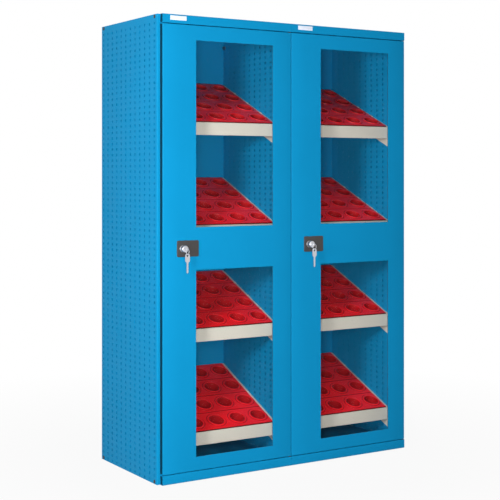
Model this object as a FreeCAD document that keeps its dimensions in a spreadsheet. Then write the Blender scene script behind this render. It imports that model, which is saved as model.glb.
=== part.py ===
import FreeCAD, Part
import math
import os
import re

import Sketcher

# A two-bay tool-holder cabinet of folded sheet steel. Each bay has a windowed door with a
# knob lock and shooting rods, and tilted racks that carry strips of tool sockets.
# X runs across the front, Y from front to back and Z up. The origin lies on the floor,
# under the middle of the whole outline.

doc = FreeCAD.newDocument("storage_cabinet")
sheet = doc.addObject("Spreadsheet::Sheet", "Sizes")

SIZES = (
    # carcass
    ("bay_width", 658, "width of one bay, seam to seam"),
    ("cabinet_height", 2000, "floor to roof"),
    ("body_depth", 552, "depth of the carcass without its fronts"),
    ("front_depth", 23, "how far the fronts stand before the carcass"),
    ("plate", 1.5, "thickness of the carcass and door steel"),
    ("end_depth", 14, "depth of the cladding panel on each end"),
    ("wall_inset", 22, "bay seam to the inner face of a bay wall"),
    ("back_inset", 12, "carcass back to the inner face of the back panel"),
    ("roof_side_depth", 25, "folded side of the roof"),
    ("base_lip", 20, "foot lip folded under the base"),
    # perforation
    ("hole_side", 12, "side of one square hole"),
    ("hole_column_margin", 23, "carcass edge to the outer hole columns"),
    ("hole_row_margin", 38, "floor or roof to the outer hole rows"),
    ("hole_columns", 12, "count of hole columns"),
    ("hole_rows", 77, "count of hole rows"),
    # fasteners of the carcass
    ("screw_radius", 5, "shank of a cladding screw or joining bolt"),
    ("screw_clear", 0.1, "play round a screw"),
    ("screw_margin", 10, "floor or roof line to a cladding screw"),
    ("screw_head_radius", 8, "black cap of a cladding screw"),
    ("screw_head_depth", 3, "height of that cap"),
    ("bolt_head_radius", 9, "head or nut of a joining bolt"),
    ("bolt_head_depth", 7, "height of that head or nut"),
    ("bolt_rows_count", 1, "hole rows beyond the joining bolts, at either end"),
    # fronts
    ("plinth_height", 40, "height of the plinth and of the base"),
    ("top_rail_height", 38, "height of the top rail"),
    ("rail_lip", 12, "lip of a rail that lies on the carcass"),
    ("rail_seam", 1, "gap between two rails"),
    ("door_gap", 4, "gap between the door and a rail"),
    ("door_seam", 3, "gap between two doors"),
    ("door_depth", 20, "folded depth of the door"),
    ("grip_recess", 16, "overhang of the door sheet at its lock edge"),
    ("window_left", 163, "bay seam to the window"),
    ("window_right", 101, "window to the next bay seam"),
    ("window_sill", 102.5, "floor to the lower window"),
    ("window_head", 105.5, "upper window to the roof"),
    ("window_rail", 184, "door rail between the two windows"),
    ("seal_thickness", 2, "rubber between door sheet and pane"),
    ("seal_width", 12, "width of that rubber"),
    ("pane_thickness", 4, "clear sheet"),
    ("pane_margin", 14, "pane edge beyond the window"),
    ("retainer_land", 4, "window edge to the retaining frame"),
    ("retainer_width", 24, "width of the retaining frame"),
    ("stud_radius", 2.5, "weld stud that holds a retaining frame"),
    ("stud_clear", 0.2, "play round a stud"),
    ("stud_tail", 4, "stud behind the retaining frame"),
    ("stud_cap_radius", 4.5, "nut on a stud"),
    ("studs_per_side", 4, "count of studs on each side of a window"),
    ("label_width", 79, "label holder"),
    ("label_height", 19, "label holder"),
    ("label_depth", 1.2, "label holder"),
    ("label_corner", 2, "corner radius of the label holder"),
    ("label_from_edge", 37, "bay seam to the label holder"),
    ("label_rise", 3.5, "label centre above the middle of the rail"),
    # hinges
    ("pivot_inset", 6, "hinge axis from the door edge and from its front"),
    ("pin_radius", 3, "hinge pin"),
    ("pin_collar_radius", 4.4, "collar that holds the pin in its rail"),
    ("pin_collar_height", 4, "height of that collar"),
    ("pin_engagement", 14, "length of pin inside the door"),
    ("running_gap", 0.05, "radial play of a turning fit"),
    ("bush_radius", 4.4, "outside of a hinge bush"),
    ("bush_flange_radius", 5.6, "flange of a hinge bush"),
    ("seat_gap", 0.3, "play between faces that pass each other"),
    # lock
    ("lock_from_edge", 95, "bay seam to the lock axis"),
    ("lock_rise", 1.5, "lock axis above the middle of the rail between the windows"),
    ("lock_plate_left", 68, "bay seam to the lock plate"),
    ("lock_plate_width", 106, "lock plate"),
    ("lock_plate_height", 70, "lock plate"),
    ("lock_plate_depth", 4, "lock plate"),
    ("lock_plate_corner", 6, "corner radius of the lock plate"),
    ("lock_bush_radius", 10, "sleeve that carries the spindle"),
    ("lock_bush_flange", 13, "flange of that sleeve inside the door"),
    ("lock_bush_flange_depth", 2, "thickness of that flange"),
    ("spindle_radius", 6, "knob spindle"),
    ("spindle_end_radius", 4, "stub of the spindle that holds the cam"),
    ("knob_radius", 15, "chrome knob"),
    ("knob_waist_radius", 12.5, "neck of the knob"),
    ("knob_waist_length", 9, "neck of the knob"),
    ("knob_length", 26, "knob in front of the lock plate"),
    ("knob_nose", 3, "bevel at the front of the knob"),
    ("cam_setback", 8, "door front to the cam"),
    ("cam_thickness", 3, "cam disc"),
    ("cam_radius", 16, "cam disc"),
    ("crank_pin_radius", 2.5, "pin that drives a rod"),
    ("crank_pin_length", 4.5, "that pin behind the cam"),
    ("rod_travel", 16, "stroke of a rod"),
    ("rod_width", 14, "flat rod"),
    ("rod_thickness", 3, "flat rod"),
    ("rod_offset", 10, "rod centre from the lock axis"),
    ("rod_setback", 1, "drawn-in rod end below the door edge"),
    ("rod_cam_gap", 1, "cam to rod"),
    ("rod_slot_clear", 0.5, "play of the crank pin in its slot"),
    ("rod_tail", 6, "rod beyond the middle of its slot"),
    ("rod_guide_clear", 0.4, "play of a rod in a guide"),
    ("rod_keeper_clear", 1, "play of a rod in a rail or door edge"),
    ("guide_width", 26, "rod guide"),
    ("guide_height", 20, "rod guide"),
    ("guide_wall", 3, "guide behind the rod"),
    ("guide_from_lock", 110, "lock axis to the nearer guide"),
    ("guide_from_edge", 60, "door edge to the farther guide"),
    # keys
    ("key_thickness", 2.4, "flat key"),
    ("key_blade_width", 8.4, "key blade"),
    ("key_blade_length", 20, "blade inside the knob"),
    ("key_clear", 0.2, "play of the key in the knob"),
    ("key_bow_length", 18, "bow in front of the knob"),
    ("key_bow_width", 18, "bow of the key in the lock"),
    ("key_rim", 4, "metal round the hole of a bow"),
    ("key_hole_radius", 5, "hole of a bow"),
    ("ring_radius", 13, "key ring, to the middle of its wire"),
    ("ring_wire", 1, "radius of the ring's wire"),
    ("ring_clear", 0.5, "ring above the bow it hangs on"),
    ("spare_bow_width", 22, "bow of the spare key"),
    ("spare_bow_height", 38, "bow of the spare key"),
    ("spare_blade_length", 46, "blade of the spare key"),
    # tool racks
    ("rack_count", 4, "racks in one bay"),
    ("rack_clear", 2, "rack side to bay wall"),
    ("rack_plate", 2, "thickness of the rack steel"),
    ("rack_setback", 94, "door front to the front of a rack"),
    ("rack_tilt", 24, "slope of a rack in degrees"),
    ("rack_rail_height", 55, "front and back rail of a rack"),
    ("rack_side_depth", 95, "side of a rack, measured upright"),
    ("rack_flange", 18, "top flange along a rack side"),
    ("rack_land", 8, "front flange left bare before the strips"),
    ("tab_width", 9, "upright tab beside each gap between strips"),
    ("tab_length", 8, "that tab along the slope"),
    ("tab_height", 6, "that tab above the flange"),
    ("rack_back_clear", 1.25, "rack to the back panel"),
    ("rows_below_count", 4, "hole rows below the lowest front hook"),
    ("hook_rows_per_rack", 18, "hole rows from rack to rack"),
    ("columns_before_front_count", 2, "hole columns before the front hooks"),
    ("columns_before_back_count", 9, "hole columns before the back hooks"),
    ("rows_climbed_count", 6, "hole rows from the front hook up to the back one"),
    ("hook_drop", 40.75, "front hook below the rack's front edge"),
    ("hook_width", 10, "hook"),
    ("hook_height", 8, "hook"),
    ("hook_reach", 3, "thickness of the hook behind the wall"),
    # socket strips
    ("strip_count", 4, "strips on one rack"),
    ("strip_gap", 4, "gap between strips"),
    ("strip_end_gap", 12, "rack side to the end of a strip"),
    ("deck_thickness", 5, "top of a strip"),
    ("socket_count", 5, "sockets in one strip"),
    ("socket_left_margin", 100, "left end of a strip to its first socket"),
    ("socket_right_margin", 46, "last socket to the right end of a strip"),
    ("socket_radius", 35, "bore of a socket"),
    ("socket_wall", 4, "sleeve under a socket"),
    ("socket_depth", 46, "sleeve below the deck"),
    ("rim_width", 9, "raised rim round a socket"),
    ("rim_height", 2, "raised rim round a socket"),
    ("skirt_depth", 14, "stiffening skirt below the deck"),
    ("skirt_thickness", 3, "stiffening skirt"),
    ("skirt_inset", 12, "edge of the strip to a skirt"),
    ("skirt_end_gap", 24, "end of the strip to its skirts"),
)

for row, (alias, amount, note) in enumerate(SIZES, start=1):
    sheet.set(f"A{row}", note)
    sheet.set(f"B{row}", str(amount))
    sheet.setAlias(f"B{row}", alias)
doc.recompute()

ALIASES = {alias for alias, amount, note in SIZES}
BAYS = (("left", -1), ("right", 1))
SIDES = (("left", -1), ("right", 1))
ENDS = (("lower", -1), ("upper", 1))
NODES = {}


def size(alias):
    """A driving dimension as a plain number."""
    return float(sheet.get(alias))


def count(alias):
    """A driving count as a whole number."""
    return int(round(size(alias)))


def bind(thing, field, text):
    """Tie a property to an expression written in the sheet's aliases."""
    full = re.sub(r"[a-z_]+", lambda word: f"Sizes.{word[0]}" if word[0] in ALIASES else word[0], text)
    thing.setExpression(field, full)


def place(thing, x, y, z):
    """Tie the three coordinates of a placement."""
    for axis, text in zip("xyz", (x, y, z)):
        bind(thing, f"Placement.Base.{axis}", text)
    return thing


def box(x, y, z):
    """A box between a low and a high place on each axis."""
    piece = doc.addObject("Part::Box", "block")
    for field, (low, high) in zip(("Length", "Width", "Height"), (x, y, z)):
        bind(piece, field, f"({high}) - ({low})")
    return place(piece, x[0], y[0], z[0])


TURNS = {
    "x": FreeCAD.Rotation(FreeCAD.Vector(0, 1, 0), 90),
    "y": FreeCAD.Rotation(FreeCAD.Vector(1, 0, 0), -90),
    "z": FreeCAD.Rotation(),
}


def round_bar(axis, radius, span, centre):
    """A cylinder along an axis, from low to high, about the two other coordinates."""
    piece = doc.addObject("Part::Cylinder", "bar")
    bind(piece, "Radius", radius)
    return along(piece, axis, span, centre)


def tapered_bar(axis, radii, span, centre):
    """A cone along an axis, from its low radius to its high one."""
    piece = doc.addObject("Part::Cone", "taper")
    bind(piece, "Radius1", radii[0])
    bind(piece, "Radius2", radii[1])
    return along(piece, axis, span, centre)


def along(piece, axis, span, centre):
    """Stand a round primitive on its axis."""
    low, high = span
    bind(piece, "Height", f"({high}) - ({low})")
    piece.Placement = FreeCAD.Placement(FreeCAD.Vector(), TURNS[axis])
    spots = list(centre)
    spots.insert("xyz".index(axis), low)
    return place(piece, *spots)


def joined(pieces):
    """One solid out of several that touch or overlap."""
    if len(pieces) == 1:
        return pieces[0]
    whole = doc.addObject("Part::MultiFuse", "joined")
    whole.Shapes = pieces
    whole.Refine = True
    return whole


def cut(base, tools):
    """A solid less everything in tools."""
    rest = doc.addObject("Part::Cut", "cut")
    rest.Base = base
    rest.Tool = joined(tools)
    rest.Refine = True
    return rest


def node(name, thing):
    """Register a finished sub-part under its name."""
    thing.Label = name
    NODES[name] = thing
    return thing


def group(name, pieces):
    """Register several like solids as one sub-part."""
    bundle = doc.addObject("Part::Compound", "bundle")
    bundle.Links = pieces
    return node(name, bundle)


def shaped(name, shape):
    """Register a sub-part whose shape is worked out from the sheet's values."""
    feature = doc.addObject("Part::Feature", "shaped")
    feature.Shape = shape
    return node(name, feature)


def outward(side, start, length):
    """A low and high place, from start by length towards the given side."""
    if side > 0:
        return start, f"{start} + {length}"
    return f"{start} - ({length})", start


def about(middle, width):
    """A low and high place, half a width to each side of the middle."""
    return f"{middle} - ({width})/2", f"{middle} + ({width})/2"


# Places on the depth axis. The key ring stands farthest forward.
REACH = (
    "lock_plate_depth + seat_gap + knob_length + key_bow_length - key_rim/2"
    " + ring_radius + ring_wire"
)
DOOR_FRONT = f"(({REACH} - front_depth - body_depth)/2)"
BODY_FRONT = f"({DOOR_FRONT} + front_depth)"
BODY_BACK = f"({BODY_FRONT} + body_depth)"
DEPTH = (BODY_FRONT, BODY_BACK)
TALL = ("0", "cabinet_height")
DOOR_BOTTOM = "(plinth_height + door_gap)"
DOOR_TOP = "(cabinet_height - top_rail_height - door_gap)"
PIVOT_Y = f"({DOOR_FRONT} + pivot_inset)"
ROD_FRONT = f"({DOOR_FRONT} + cam_setback + cam_thickness + rod_cam_gap)"
COLUMN_PITCH = "((body_depth - 2*hole_column_margin)/(hole_columns - 1))"
ROW_PITCH = "((cabinet_height - 2*hole_row_margin)/(hole_rows - 1))"
WINDOW_WIDTH = "(bay_width - window_left - window_right)"
WINDOW_HEIGHT = "((cabinet_height - window_sill - window_rail - window_head)/2)"
LOCK_HEIGHT = f"(window_sill + {WINDOW_HEIGHT} + window_rail/2 + lock_rise)"


def hole_y(column):
    """Middle of a hole column, counted from the front."""
    return f"({BODY_FRONT} + hole_column_margin + ({column})*{COLUMN_PITCH})"


def hole_z(row):
    """Middle of a hole row, counted from the floor."""
    return f"(hole_row_margin + ({row})*{ROW_PITCH})"


def bay_left(bay):
    """Left seam of a bay."""
    return f"(({bay})*bay_width/2 - bay_width/2)"


def bay_room(bay):
    """Clear width between the two walls of a bay."""
    return f"({bay_left(bay)} + wall_inset)", f"({bay_left(bay)} + bay_width - wall_inset)"


def lock_x(bay):
    """Lock axis of a bay."""
    return f"({bay_left(bay)} + lock_from_edge)"


def tray(side, mouth, depth):
    """An upright tray: a web at one end of its depth and four folded edges up to its mouth."""
    web = outward(side, f"({mouth}) + ({side})*({depth} - plate)", "plate")
    fold = outward(side, f"({mouth})", depth)
    return [
        box(web, DEPTH, TALL),
        box(fold, outward(1, BODY_FRONT, "plate"), TALL),
        box(fold, outward(-1, BODY_BACK, "plate"), TALL),
        box(fold, DEPTH, outward(1, "0", "plate")),
        box(fold, DEPTH, outward(-1, "cabinet_height", "plate")),
    ]


def corner_spots():
    """Spots of the cladding screws, above and below the first and last hole columns."""
    heights = ("screw_margin", "cabinet_height - screw_margin")
    return [(hole_y(column), height) for column in ("0", "hole_columns - 1") for height in heights]


def bolt_spots():
    """Holes of the perforation that take the bolts between the two bays."""
    rows = ("bolt_rows_count", "hole_rows - 1 - bolt_rows_count")
    return [(hole_y(column), hole_z(row)) for column in ("0", "hole_columns - 1") for row in rows]


def hook_spots():
    """Holes of the perforation that take the rack hooks."""
    spots = []
    for rack in range(count("rack_count")):
        row = f"rows_below_count + {rack}*hook_rows_per_rack"
        spots.append((hole_y("columns_before_front_count"), hole_z(row)))
        spots.append((hole_y("columns_before_back_count"), hole_z(f"{row} + rows_climbed_count")))
    return spots


def screw_holes(x, spots):
    """Round clearance holes through a web."""
    return [round_bar("x", "screw_radius + screw_clear", x, spot) for spot in spots]


def make_end_panels():
    """Cladding of the two ends, and the black-capped screws that hold it to the bay walls."""
    screws = []
    for name, side in SIDES:
        seam = f"({side})*bay_width"
        across = outward(side, seam, "end_depth")
        panel = joined(tray(side, seam, "end_depth"))
        node(f"end_panel_{name}", cut(panel, screw_holes(across, corner_spots())))
        face = f"({seam} + ({side})*end_depth)"
        for spot in corner_spots():
            cap = round_bar("x", "screw_head_radius", outward(side, face, "screw_head_depth"), spot)
            shank = round_bar("x", "screw_radius", outward(-side, face, "end_depth + wall_inset"), spot)
            screws.append(joined([cap, shank]))
    group("end_panel_screws", screws)


def make_bay_walls():
    """Folded inner walls: the web faces the bay, and hooks, screws and bolts pass through it."""
    for bay_name, bay in BAYS:
        for side_name, side in SIDES:
            seam = f"(({bay})*bay_width/2 + ({side})*bay_width/2)"
            through = outward(-side, f"({seam} - ({side})*plate)", "wall_inset")
            holes = [
                box(through, about(y, "hole_side"), about(z, "hole_side"))
                for y, z in hook_spots()
            ]
            holes += screw_holes(through, corner_spots() if bay == side else bolt_spots())
            wall = cut(joined(tray(-side, seam, "wall_inset")), holes)
            node(f"{bay_name}_bay_{side_name}_wall", wall)


def make_joining_bolts():
    """Bolts and nuts through the two walls that stand back to back."""
    bolts = []
    nuts = []
    for spot in bolt_spots():
        head = round_bar("x", "bolt_head_radius", outward(-1, "-wall_inset", "bolt_head_depth"), spot)
        shank = round_bar("x", "screw_radius", ("-wall_inset", "wall_inset + bolt_head_depth"), spot)
        bolts.append(joined([head, shank]))
        span = outward(1, "wall_inset", "bolt_head_depth")
        nut = round_bar("x", "bolt_head_radius", span, spot)
        nuts.append(cut(nut, screw_holes(span, [spot])))
    group("joining_bolts", bolts)
    group("joining_nuts", nuts)


def make_carcass():
    """Roof, base and back panel of each bay, folded to fit between its walls."""
    for name, bay in BAYS:
        room = bay_room(bay)
        low, high = room
        front_fold = outward(1, BODY_FRONT, "plate")
        back_fold = outward(-1, BODY_BACK, "plate")
        edges = (outward(1, low, "plate"), outward(-1, high, "plate"))

        roof_sides = (BODY_FRONT, f"{BODY_BACK} - back_inset")
        roof = [box(room, DEPTH, outward(-1, "cabinet_height", "plate"))]
        roof.append(box(room, front_fold, outward(-1, "cabinet_height", "top_rail_height")))
        roof += [box(edge, roof_sides, outward(-1, "cabinet_height", "roof_side_depth")) for edge in edges]
        node(f"{name}_bay_roof", joined(roof))

        foot = outward(1, "0", "plate")
        upright = ("0", "plinth_height")
        base = [box(room, DEPTH, outward(-1, "plinth_height", "plate"))]
        base += [box(room, fold, upright) for fold in (front_fold, back_fold)]
        base += [box(edge, DEPTH, upright) for edge in edges]
        base.append(box(room, outward(1, BODY_FRONT, "base_lip"), foot))
        base.append(box(room, outward(-1, BODY_BACK, "base_lip"), foot))
        node(f"{name}_bay_base", joined(base))

        rise = ("plinth_height", "cabinet_height - plate")
        fold = outward(-1, BODY_BACK, "back_inset")
        back = [box(room, outward(1, f"({BODY_BACK} - back_inset)", "plate"), rise)]
        back += [box(edge, fold, rise) for edge in edges]
        back.append(box(room, fold, outward(1, "plinth_height", "plate")))
        back.append(box(room, fold, outward(-1, "(cabinet_height - plate)", "plate")))
        node(f"{name}_bay_back_panel", joined(back))


def rod_passage(bay, end, z):
    """The slot that a rod shoots through in a door edge or a rail."""
    x = about(f"({lock_x(bay)} + ({end})*rod_offset)", "rod_width + 2*rod_keeper_clear")
    y = (f"{ROD_FRONT} - rod_keeper_clear", f"{ROD_FRONT} + rod_thickness + rod_keeper_clear")
    return box(x, y, z)


def pivot_x(bay):
    """Hinge axis of a door, near its right-hand edge."""
    return f"({bay_left(bay)} + bay_width - door_seam/2 - pivot_inset)"


def make_rails():
    """Top rail and plinth of each bay: open-ended lipped channels on the carcass front."""
    for name, bay in BAYS:
        x = (f"{bay_left(bay)} + rail_seam/2", f"{bay_left(bay)} + bay_width - rail_seam/2")
        y = (DOOR_FRONT, BODY_FRONT)
        lip_y = outward(-1, BODY_FRONT, "plate")
        for rail_name, end, outer in (("plinth", -1, "0"), ("top_rail", 1, "cabinet_height")):
            height = f"{rail_name}_height"
            inner = f"({outer} - ({end})*{height})"
            door_fold = outward(end, inner, "plate")
            channel = [
                box(x, outward(1, DOOR_FRONT, "plate"), outward(-end, outer, height)),
                box(x, y, outward(-end, outer, "plate")),
                box(x, y, door_fold),
                box(x, lip_y, outward(-end, outer, "rail_lip")),
                box(x, lip_y, outward(end, inner, "rail_lip")),
            ]
            holes = [
                round_bar("z", "pin_radius + running_gap", door_fold, (pivot_x(bay), PIVOT_Y)),
                rod_passage(bay, end, door_fold),
            ]
            node(f"{name}_bay_{rail_name}", cut(joined(channel), holes))


def make_hinges():
    """Collared pins held in the rails, and the flanged bushes of the doors that turn on them."""
    pins = []
    for name, bay in BAYS:
        bushes = []
        spot = (pivot_x(bay), PIVOT_Y)
        for end_name, end in ENDS:
            edge = DOOR_TOP if end > 0 else DOOR_BOTTOM
            seat = f"({edge} + ({end})*(door_gap + plate))"
            collar = round_bar("z", "pin_collar_radius", outward(end, seat, "pin_collar_height"), spot)
            pin_span = outward(-end, seat, "plate + door_gap + pin_engagement")
            shank = round_bar("z", "pin_radius", pin_span, spot)
            pins.append(joined([collar, shank]))

            sleeve_span = outward(-end, edge, "pin_engagement")
            flange_span = outward(end, edge, "door_gap - seat_gap")
            sleeve = round_bar("z", "bush_radius", sleeve_span, spot)
            flange = round_bar("z", "bush_flange_radius", flange_span, spot)
            bore_span = outward(end, f"({edge} - ({end})*pin_engagement)", "pin_engagement + door_gap")
            bore = round_bar("z", "pin_radius + running_gap", bore_span, spot)
            bushes.append(cut(joined([sleeve, flange]), [bore]))
        group(f"{name}_hinge_bushes", bushes)
    group("hinge_pins", pins)


def window_spots():
    """Lower edge of each window of a door."""
    return "window_sill", f"(window_sill + {WINDOW_HEIGHT} + window_rail)"


def window_block(bay, sill, margin, y):
    """A block over a window, larger than it by a margin all round."""
    left = f"({bay_left(bay)} + window_left)"
    x = (f"{left} - ({margin})", f"{left} + {WINDOW_WIDTH} + ({margin})")
    z = (f"{sill} - ({margin})", f"{sill} + {WINDOW_HEIGHT} + ({margin})")
    return box(x, y, z)


def window_frame(bay, sill, inner, outer, y):
    """A flat frame round a window, between two margins."""
    return cut(window_block(bay, sill, outer, y), [window_block(bay, sill, inner, y)])


def make_doors():
    """Folded door sheets with two windows each, and a grip recess along the lock edge."""
    skin = outward(1, DOOR_FRONT, "plate")
    depth = outward(1, DOOR_FRONT, "door_depth")
    for name, bay in BAYS:
        left = f"({bay_left(bay)} + door_seam/2)"
        right = f"({bay_left(bay)} + bay_width - door_seam/2)"
        grip = f"({left} + grip_recess)"
        rise = (DOOR_BOTTOM, DOOR_TOP)
        folds = (outward(1, DOOR_BOTTOM, "plate"), outward(-1, DOOR_TOP, "plate"))
        door = [
            box((left, right), skin, rise),
            box(outward(1, grip, "plate"), depth, rise),
            box(outward(-1, right, "plate"), depth, rise),
        ]
        door += [box((grip, right), depth, fold) for fold in folds]
        holes = [window_block(bay, sill, "0", skin) for sill in window_spots()]
        lock_hole = (lock_x(bay), LOCK_HEIGHT)
        holes.append(round_bar("y", "lock_bush_radius + screw_clear", skin, lock_hole))
        for (end_name, end), fold in zip(ENDS, folds):
            holes.append(round_bar("z", "bush_radius + running_gap", fold, (pivot_x(bay), PIVOT_Y)))
            holes.append(rod_passage(bay, end, fold))
        node(f"{name}_door_panel", cut(joined(door), holes))


def make_glazing():
    """Clear panes on rubber seals, held from inside by frames on weld studs."""
    for name, bay in BAYS:
        inside = f"({DOOR_FRONT} + plate)"
        seal_y = outward(1, inside, "seal_thickness")
        pane_y = outward(1, f"({inside} + seal_thickness)", "pane_thickness")
        frame_y = outward(1, f"({inside} + seal_thickness + pane_thickness)", "plate")
        seals = []
        panes = []
        retainers = []
        for sill in window_spots():
            seals.append(window_frame(bay, sill, "0", "seal_width", seal_y))
            panes.append(window_block(bay, sill, "pane_margin", pane_y))
            outer = "retainer_land + retainer_width"
            studs = [
                (round_bar("y", "stud_radius", (inside, f"{frame_y[1]} + stud_tail"), spot), spot)
                for spot in stud_spots(bay, sill)
            ]
            holes = [round_bar("y", "stud_radius + stud_clear", frame_y, spot) for stud, spot in studs]
            retainers.append(cut(window_frame(bay, sill, "retainer_land", outer, frame_y), holes))
            for stud, spot in studs:
                nut_y = outward(1, f"({frame_y[1]})", "stud_tail/2")
                nut = round_bar("y", "stud_cap_radius", nut_y, spot)
                retainers.append(joined([stud, nut]))
        group(f"{name}_door_window_seals", seals)
        group(f"{name}_door_window_panes", panes)
        group(f"{name}_door_window_retainers", retainers)


def stud_spots(bay, sill):
    """Studs beside the pane, evenly spread up both sides of a window."""
    margin = "(pane_margin + (retainer_land + retainer_width - pane_margin)/2)"
    left = f"({bay_left(bay)} + window_left - {margin})"
    right = f"({bay_left(bay)} + window_left + {WINDOW_WIDTH} + {margin})"
    spots = []
    for step in range(count("studs_per_side")):
        height = f"({sill} + {WINDOW_HEIGHT}*({step} + 0.5)/studs_per_side)"
        spots += [(left, height), (right, height)]
    return spots


def runs_deep(edge):
    """Whether a straight edge runs from front to back."""
    if len(edge.Vertexes) != 2:
        return False
    start, end = (vertex.Point for vertex in edge.Vertexes)
    way = end - start
    return abs(way.y) > abs(way.x) + abs(way.z)


def plate_body(name, width, height, depth, corner, hole_radius=None, hole_shift="0"):
    """A flat plate with rounded corners, padded towards the front from a sketch on its back."""
    body = doc.addObject("PartDesign::Body", f"{name}_body")
    plane = [item for item in body.Origin.OriginFeatures if item.Role == "XZ_Plane"][0]
    sketch = body.newObject("Sketcher::SketchObject", f"{name}_outline")
    sketch.AttachmentSupport = [(plane, "")]
    sketch.MapMode = "FlatFace"
    corners = [FreeCAD.Vector(x, z, 0) for x, z in ((-1, -1), (1, -1), (1, 1), (-1, 1))]
    for start, end in zip(corners, corners[1:] + corners[:1]):
        sketch.addGeometry(Part.LineSegment(start, end))
    for line in range(4):
        sketch.addConstraint(Sketcher.Constraint("Coincident", line, 2, (line + 1) % 4, 1))
        sketch.addConstraint(Sketcher.Constraint("Vertical" if line % 2 else "Horizontal", line))
    sketch.addConstraint(Sketcher.Constraint("Symmetric", 0, 1, 1, 2, -1, 1))
    sketch.addConstraint(Sketcher.Constraint("Distance", 0, 1))
    bind(sketch, f"Constraints[{sketch.ConstraintCount - 1}]", width)
    sketch.addConstraint(Sketcher.Constraint("Distance", 1, 1))
    bind(sketch, f"Constraints[{sketch.ConstraintCount - 1}]", height)
    if hole_radius:
        circle = sketch.addGeometry(Part.Circle(FreeCAD.Vector(), FreeCAD.Vector(0, 0, 1), 1))
        sketch.addConstraint(Sketcher.Constraint("Radius", circle, 1))
        bind(sketch, f"Constraints[{sketch.ConstraintCount - 1}]", hole_radius)
        sketch.addConstraint(Sketcher.Constraint("PointOnObject", circle, 3, -1))
        sketch.addConstraint(Sketcher.Constraint("DistanceX", -1, 1, circle, 3, -1))
        bind(sketch, f"Constraints[{sketch.ConstraintCount - 1}]", hole_shift)
    pad = body.newObject("PartDesign::Pad", f"{name}_pad")
    pad.Profile = sketch
    bind(pad, "Length", depth)
    doc.recompute()
    upright = [f"Edge{index}" for index, edge in enumerate(pad.Shape.Edges, start=1) if runs_deep(edge)]
    fillet = body.newObject("PartDesign::Fillet", f"{name}_corners")
    fillet.Base = (pad, upright)
    bind(fillet, "Radius", corner)
    body.Tip = fillet
    return body


def make_front_plates():
    """Blank label holders on the top rails and dark lock plates on the doors."""
    labels = []
    for name, bay in BAYS:
        label = plate_body(f"{name}_label", "label_width", "label_height", "label_depth", "label_corner")
        height = "cabinet_height - top_rail_height/2 + label_rise"
        across = f"{bay_left(bay)} + label_from_edge + label_width/2"
        labels.append(place(label, across, DOOR_FRONT, height))

        middle = f"({bay_left(bay)} + lock_plate_left + lock_plate_width/2)"
        shift = "lock_from_edge - lock_plate_left - lock_plate_width/2"
        escutcheon = plate_body(
            f"{name}_lock", "lock_plate_width", "lock_plate_height", "lock_plate_depth",
            "lock_plate_corner", "lock_bush_radius + screw_clear", shift)
        node(f"{name}_lock_plate", place(escutcheon, middle, DOOR_FRONT, LOCK_HEIGHT))
    group("label_holders", labels)


def make_locks():
    """Spindle sleeve, chrome knob, cam with two crank pins, and the two shooting rods."""
    crank = "rod_travel/2"
    for name, bay in BAYS:
        axis = (lock_x(bay), LOCK_HEIGHT)
        plate_face = f"({DOOR_FRONT} - lock_plate_depth)"
        cam_front = f"({DOOR_FRONT} + cam_setback)"
        cam_back = f"({cam_front} + cam_thickness)"

        inside = f"({DOOR_FRONT} + plate)"
        sleeve = round_bar("y", "lock_bush_radius", (plate_face, f"{cam_front} - seat_gap"), axis)
        flange = round_bar("y", "lock_bush_flange", outward(1, inside, "lock_bush_flange_depth"), axis)
        bore = round_bar("y", "spindle_radius + running_gap", (plate_face, cam_front), axis)
        node(f"{name}_lock_sleeve", cut(joined([sleeve, flange]), [bore]))

        heel = f"({plate_face} - seat_gap)"
        waist = f"({heel} - knob_waist_length)"
        face = f"({heel} - knob_length)"
        shoulder = f"({face} + knob_nose)"
        knob = [
            round_bar("y", "knob_waist_radius", (waist, heel), axis),
            round_bar("y", "knob_radius", (shoulder, waist), axis),
            tapered_bar("y", ("knob_radius - knob_nose", "knob_radius"), (face, shoulder), axis),
            round_bar("y", "spindle_radius", (heel, cam_front), axis),
            round_bar("y", "spindle_end_radius", (cam_front, cam_back), axis),
        ]
        blade_y = (f"{face} - seat_gap", f"{face} + key_blade_length")
        keyway_y = (blade_y[0], f"{blade_y[1]} + key_clear")
        keyway = box(
            about(axis[0], "key_blade_width + 2*key_clear"), keyway_y,
            about(axis[1], "key_thickness + 2*key_clear"))
        node(f"{name}_lock_knob", cut(joined(knob), [keyway]))

        make_key(name, axis, face, blade_y)
        make_key_ring(name, axis, f"({face} - key_bow_length + key_rim/2)")

        disc = round_bar("y", "cam_radius", (cam_front, cam_back), axis)
        pins = [
            round_bar(
                "y", "crank_pin_radius", (cam_front, f"{cam_back} + crank_pin_length"),
                (f"{axis[0]} + ({end})*{crank}", f"{axis[1]} - ({end})*{crank}"))
            for end_name, end in ENDS
        ]
        hole = round_bar("y", "spindle_end_radius + running_gap", (cam_front, cam_back), axis)
        node(f"{name}_lock_cam", cut(joined([disc] + pins), [hole]))
        make_rods(name, bay, axis)


def make_key(name, axis, face, blade_y):
    """The key in the knob: its bow lies flat, with a hole near its front."""
    flat = about(axis[1], "key_thickness")
    heel = f"({face} - seat_gap)"
    tip = f"({face} - key_bow_length)"
    bow_middle = f"({tip} + key_bow_width/2)"
    hole_middle = f"({tip} + key_rim + key_hole_radius)"
    bow = [
        box(about(axis[0], "key_bow_width"), (bow_middle, heel), flat),
        round_bar("z", "key_bow_width/2", flat, (axis[0], bow_middle)),
        box(about(axis[0], "key_blade_width"), blade_y, flat),
    ]
    hole = round_bar("z", "key_hole_radius", flat, (axis[0], hole_middle))
    node(f"{name}_lock_key", cut(joined(bow), [hole]))


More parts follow.
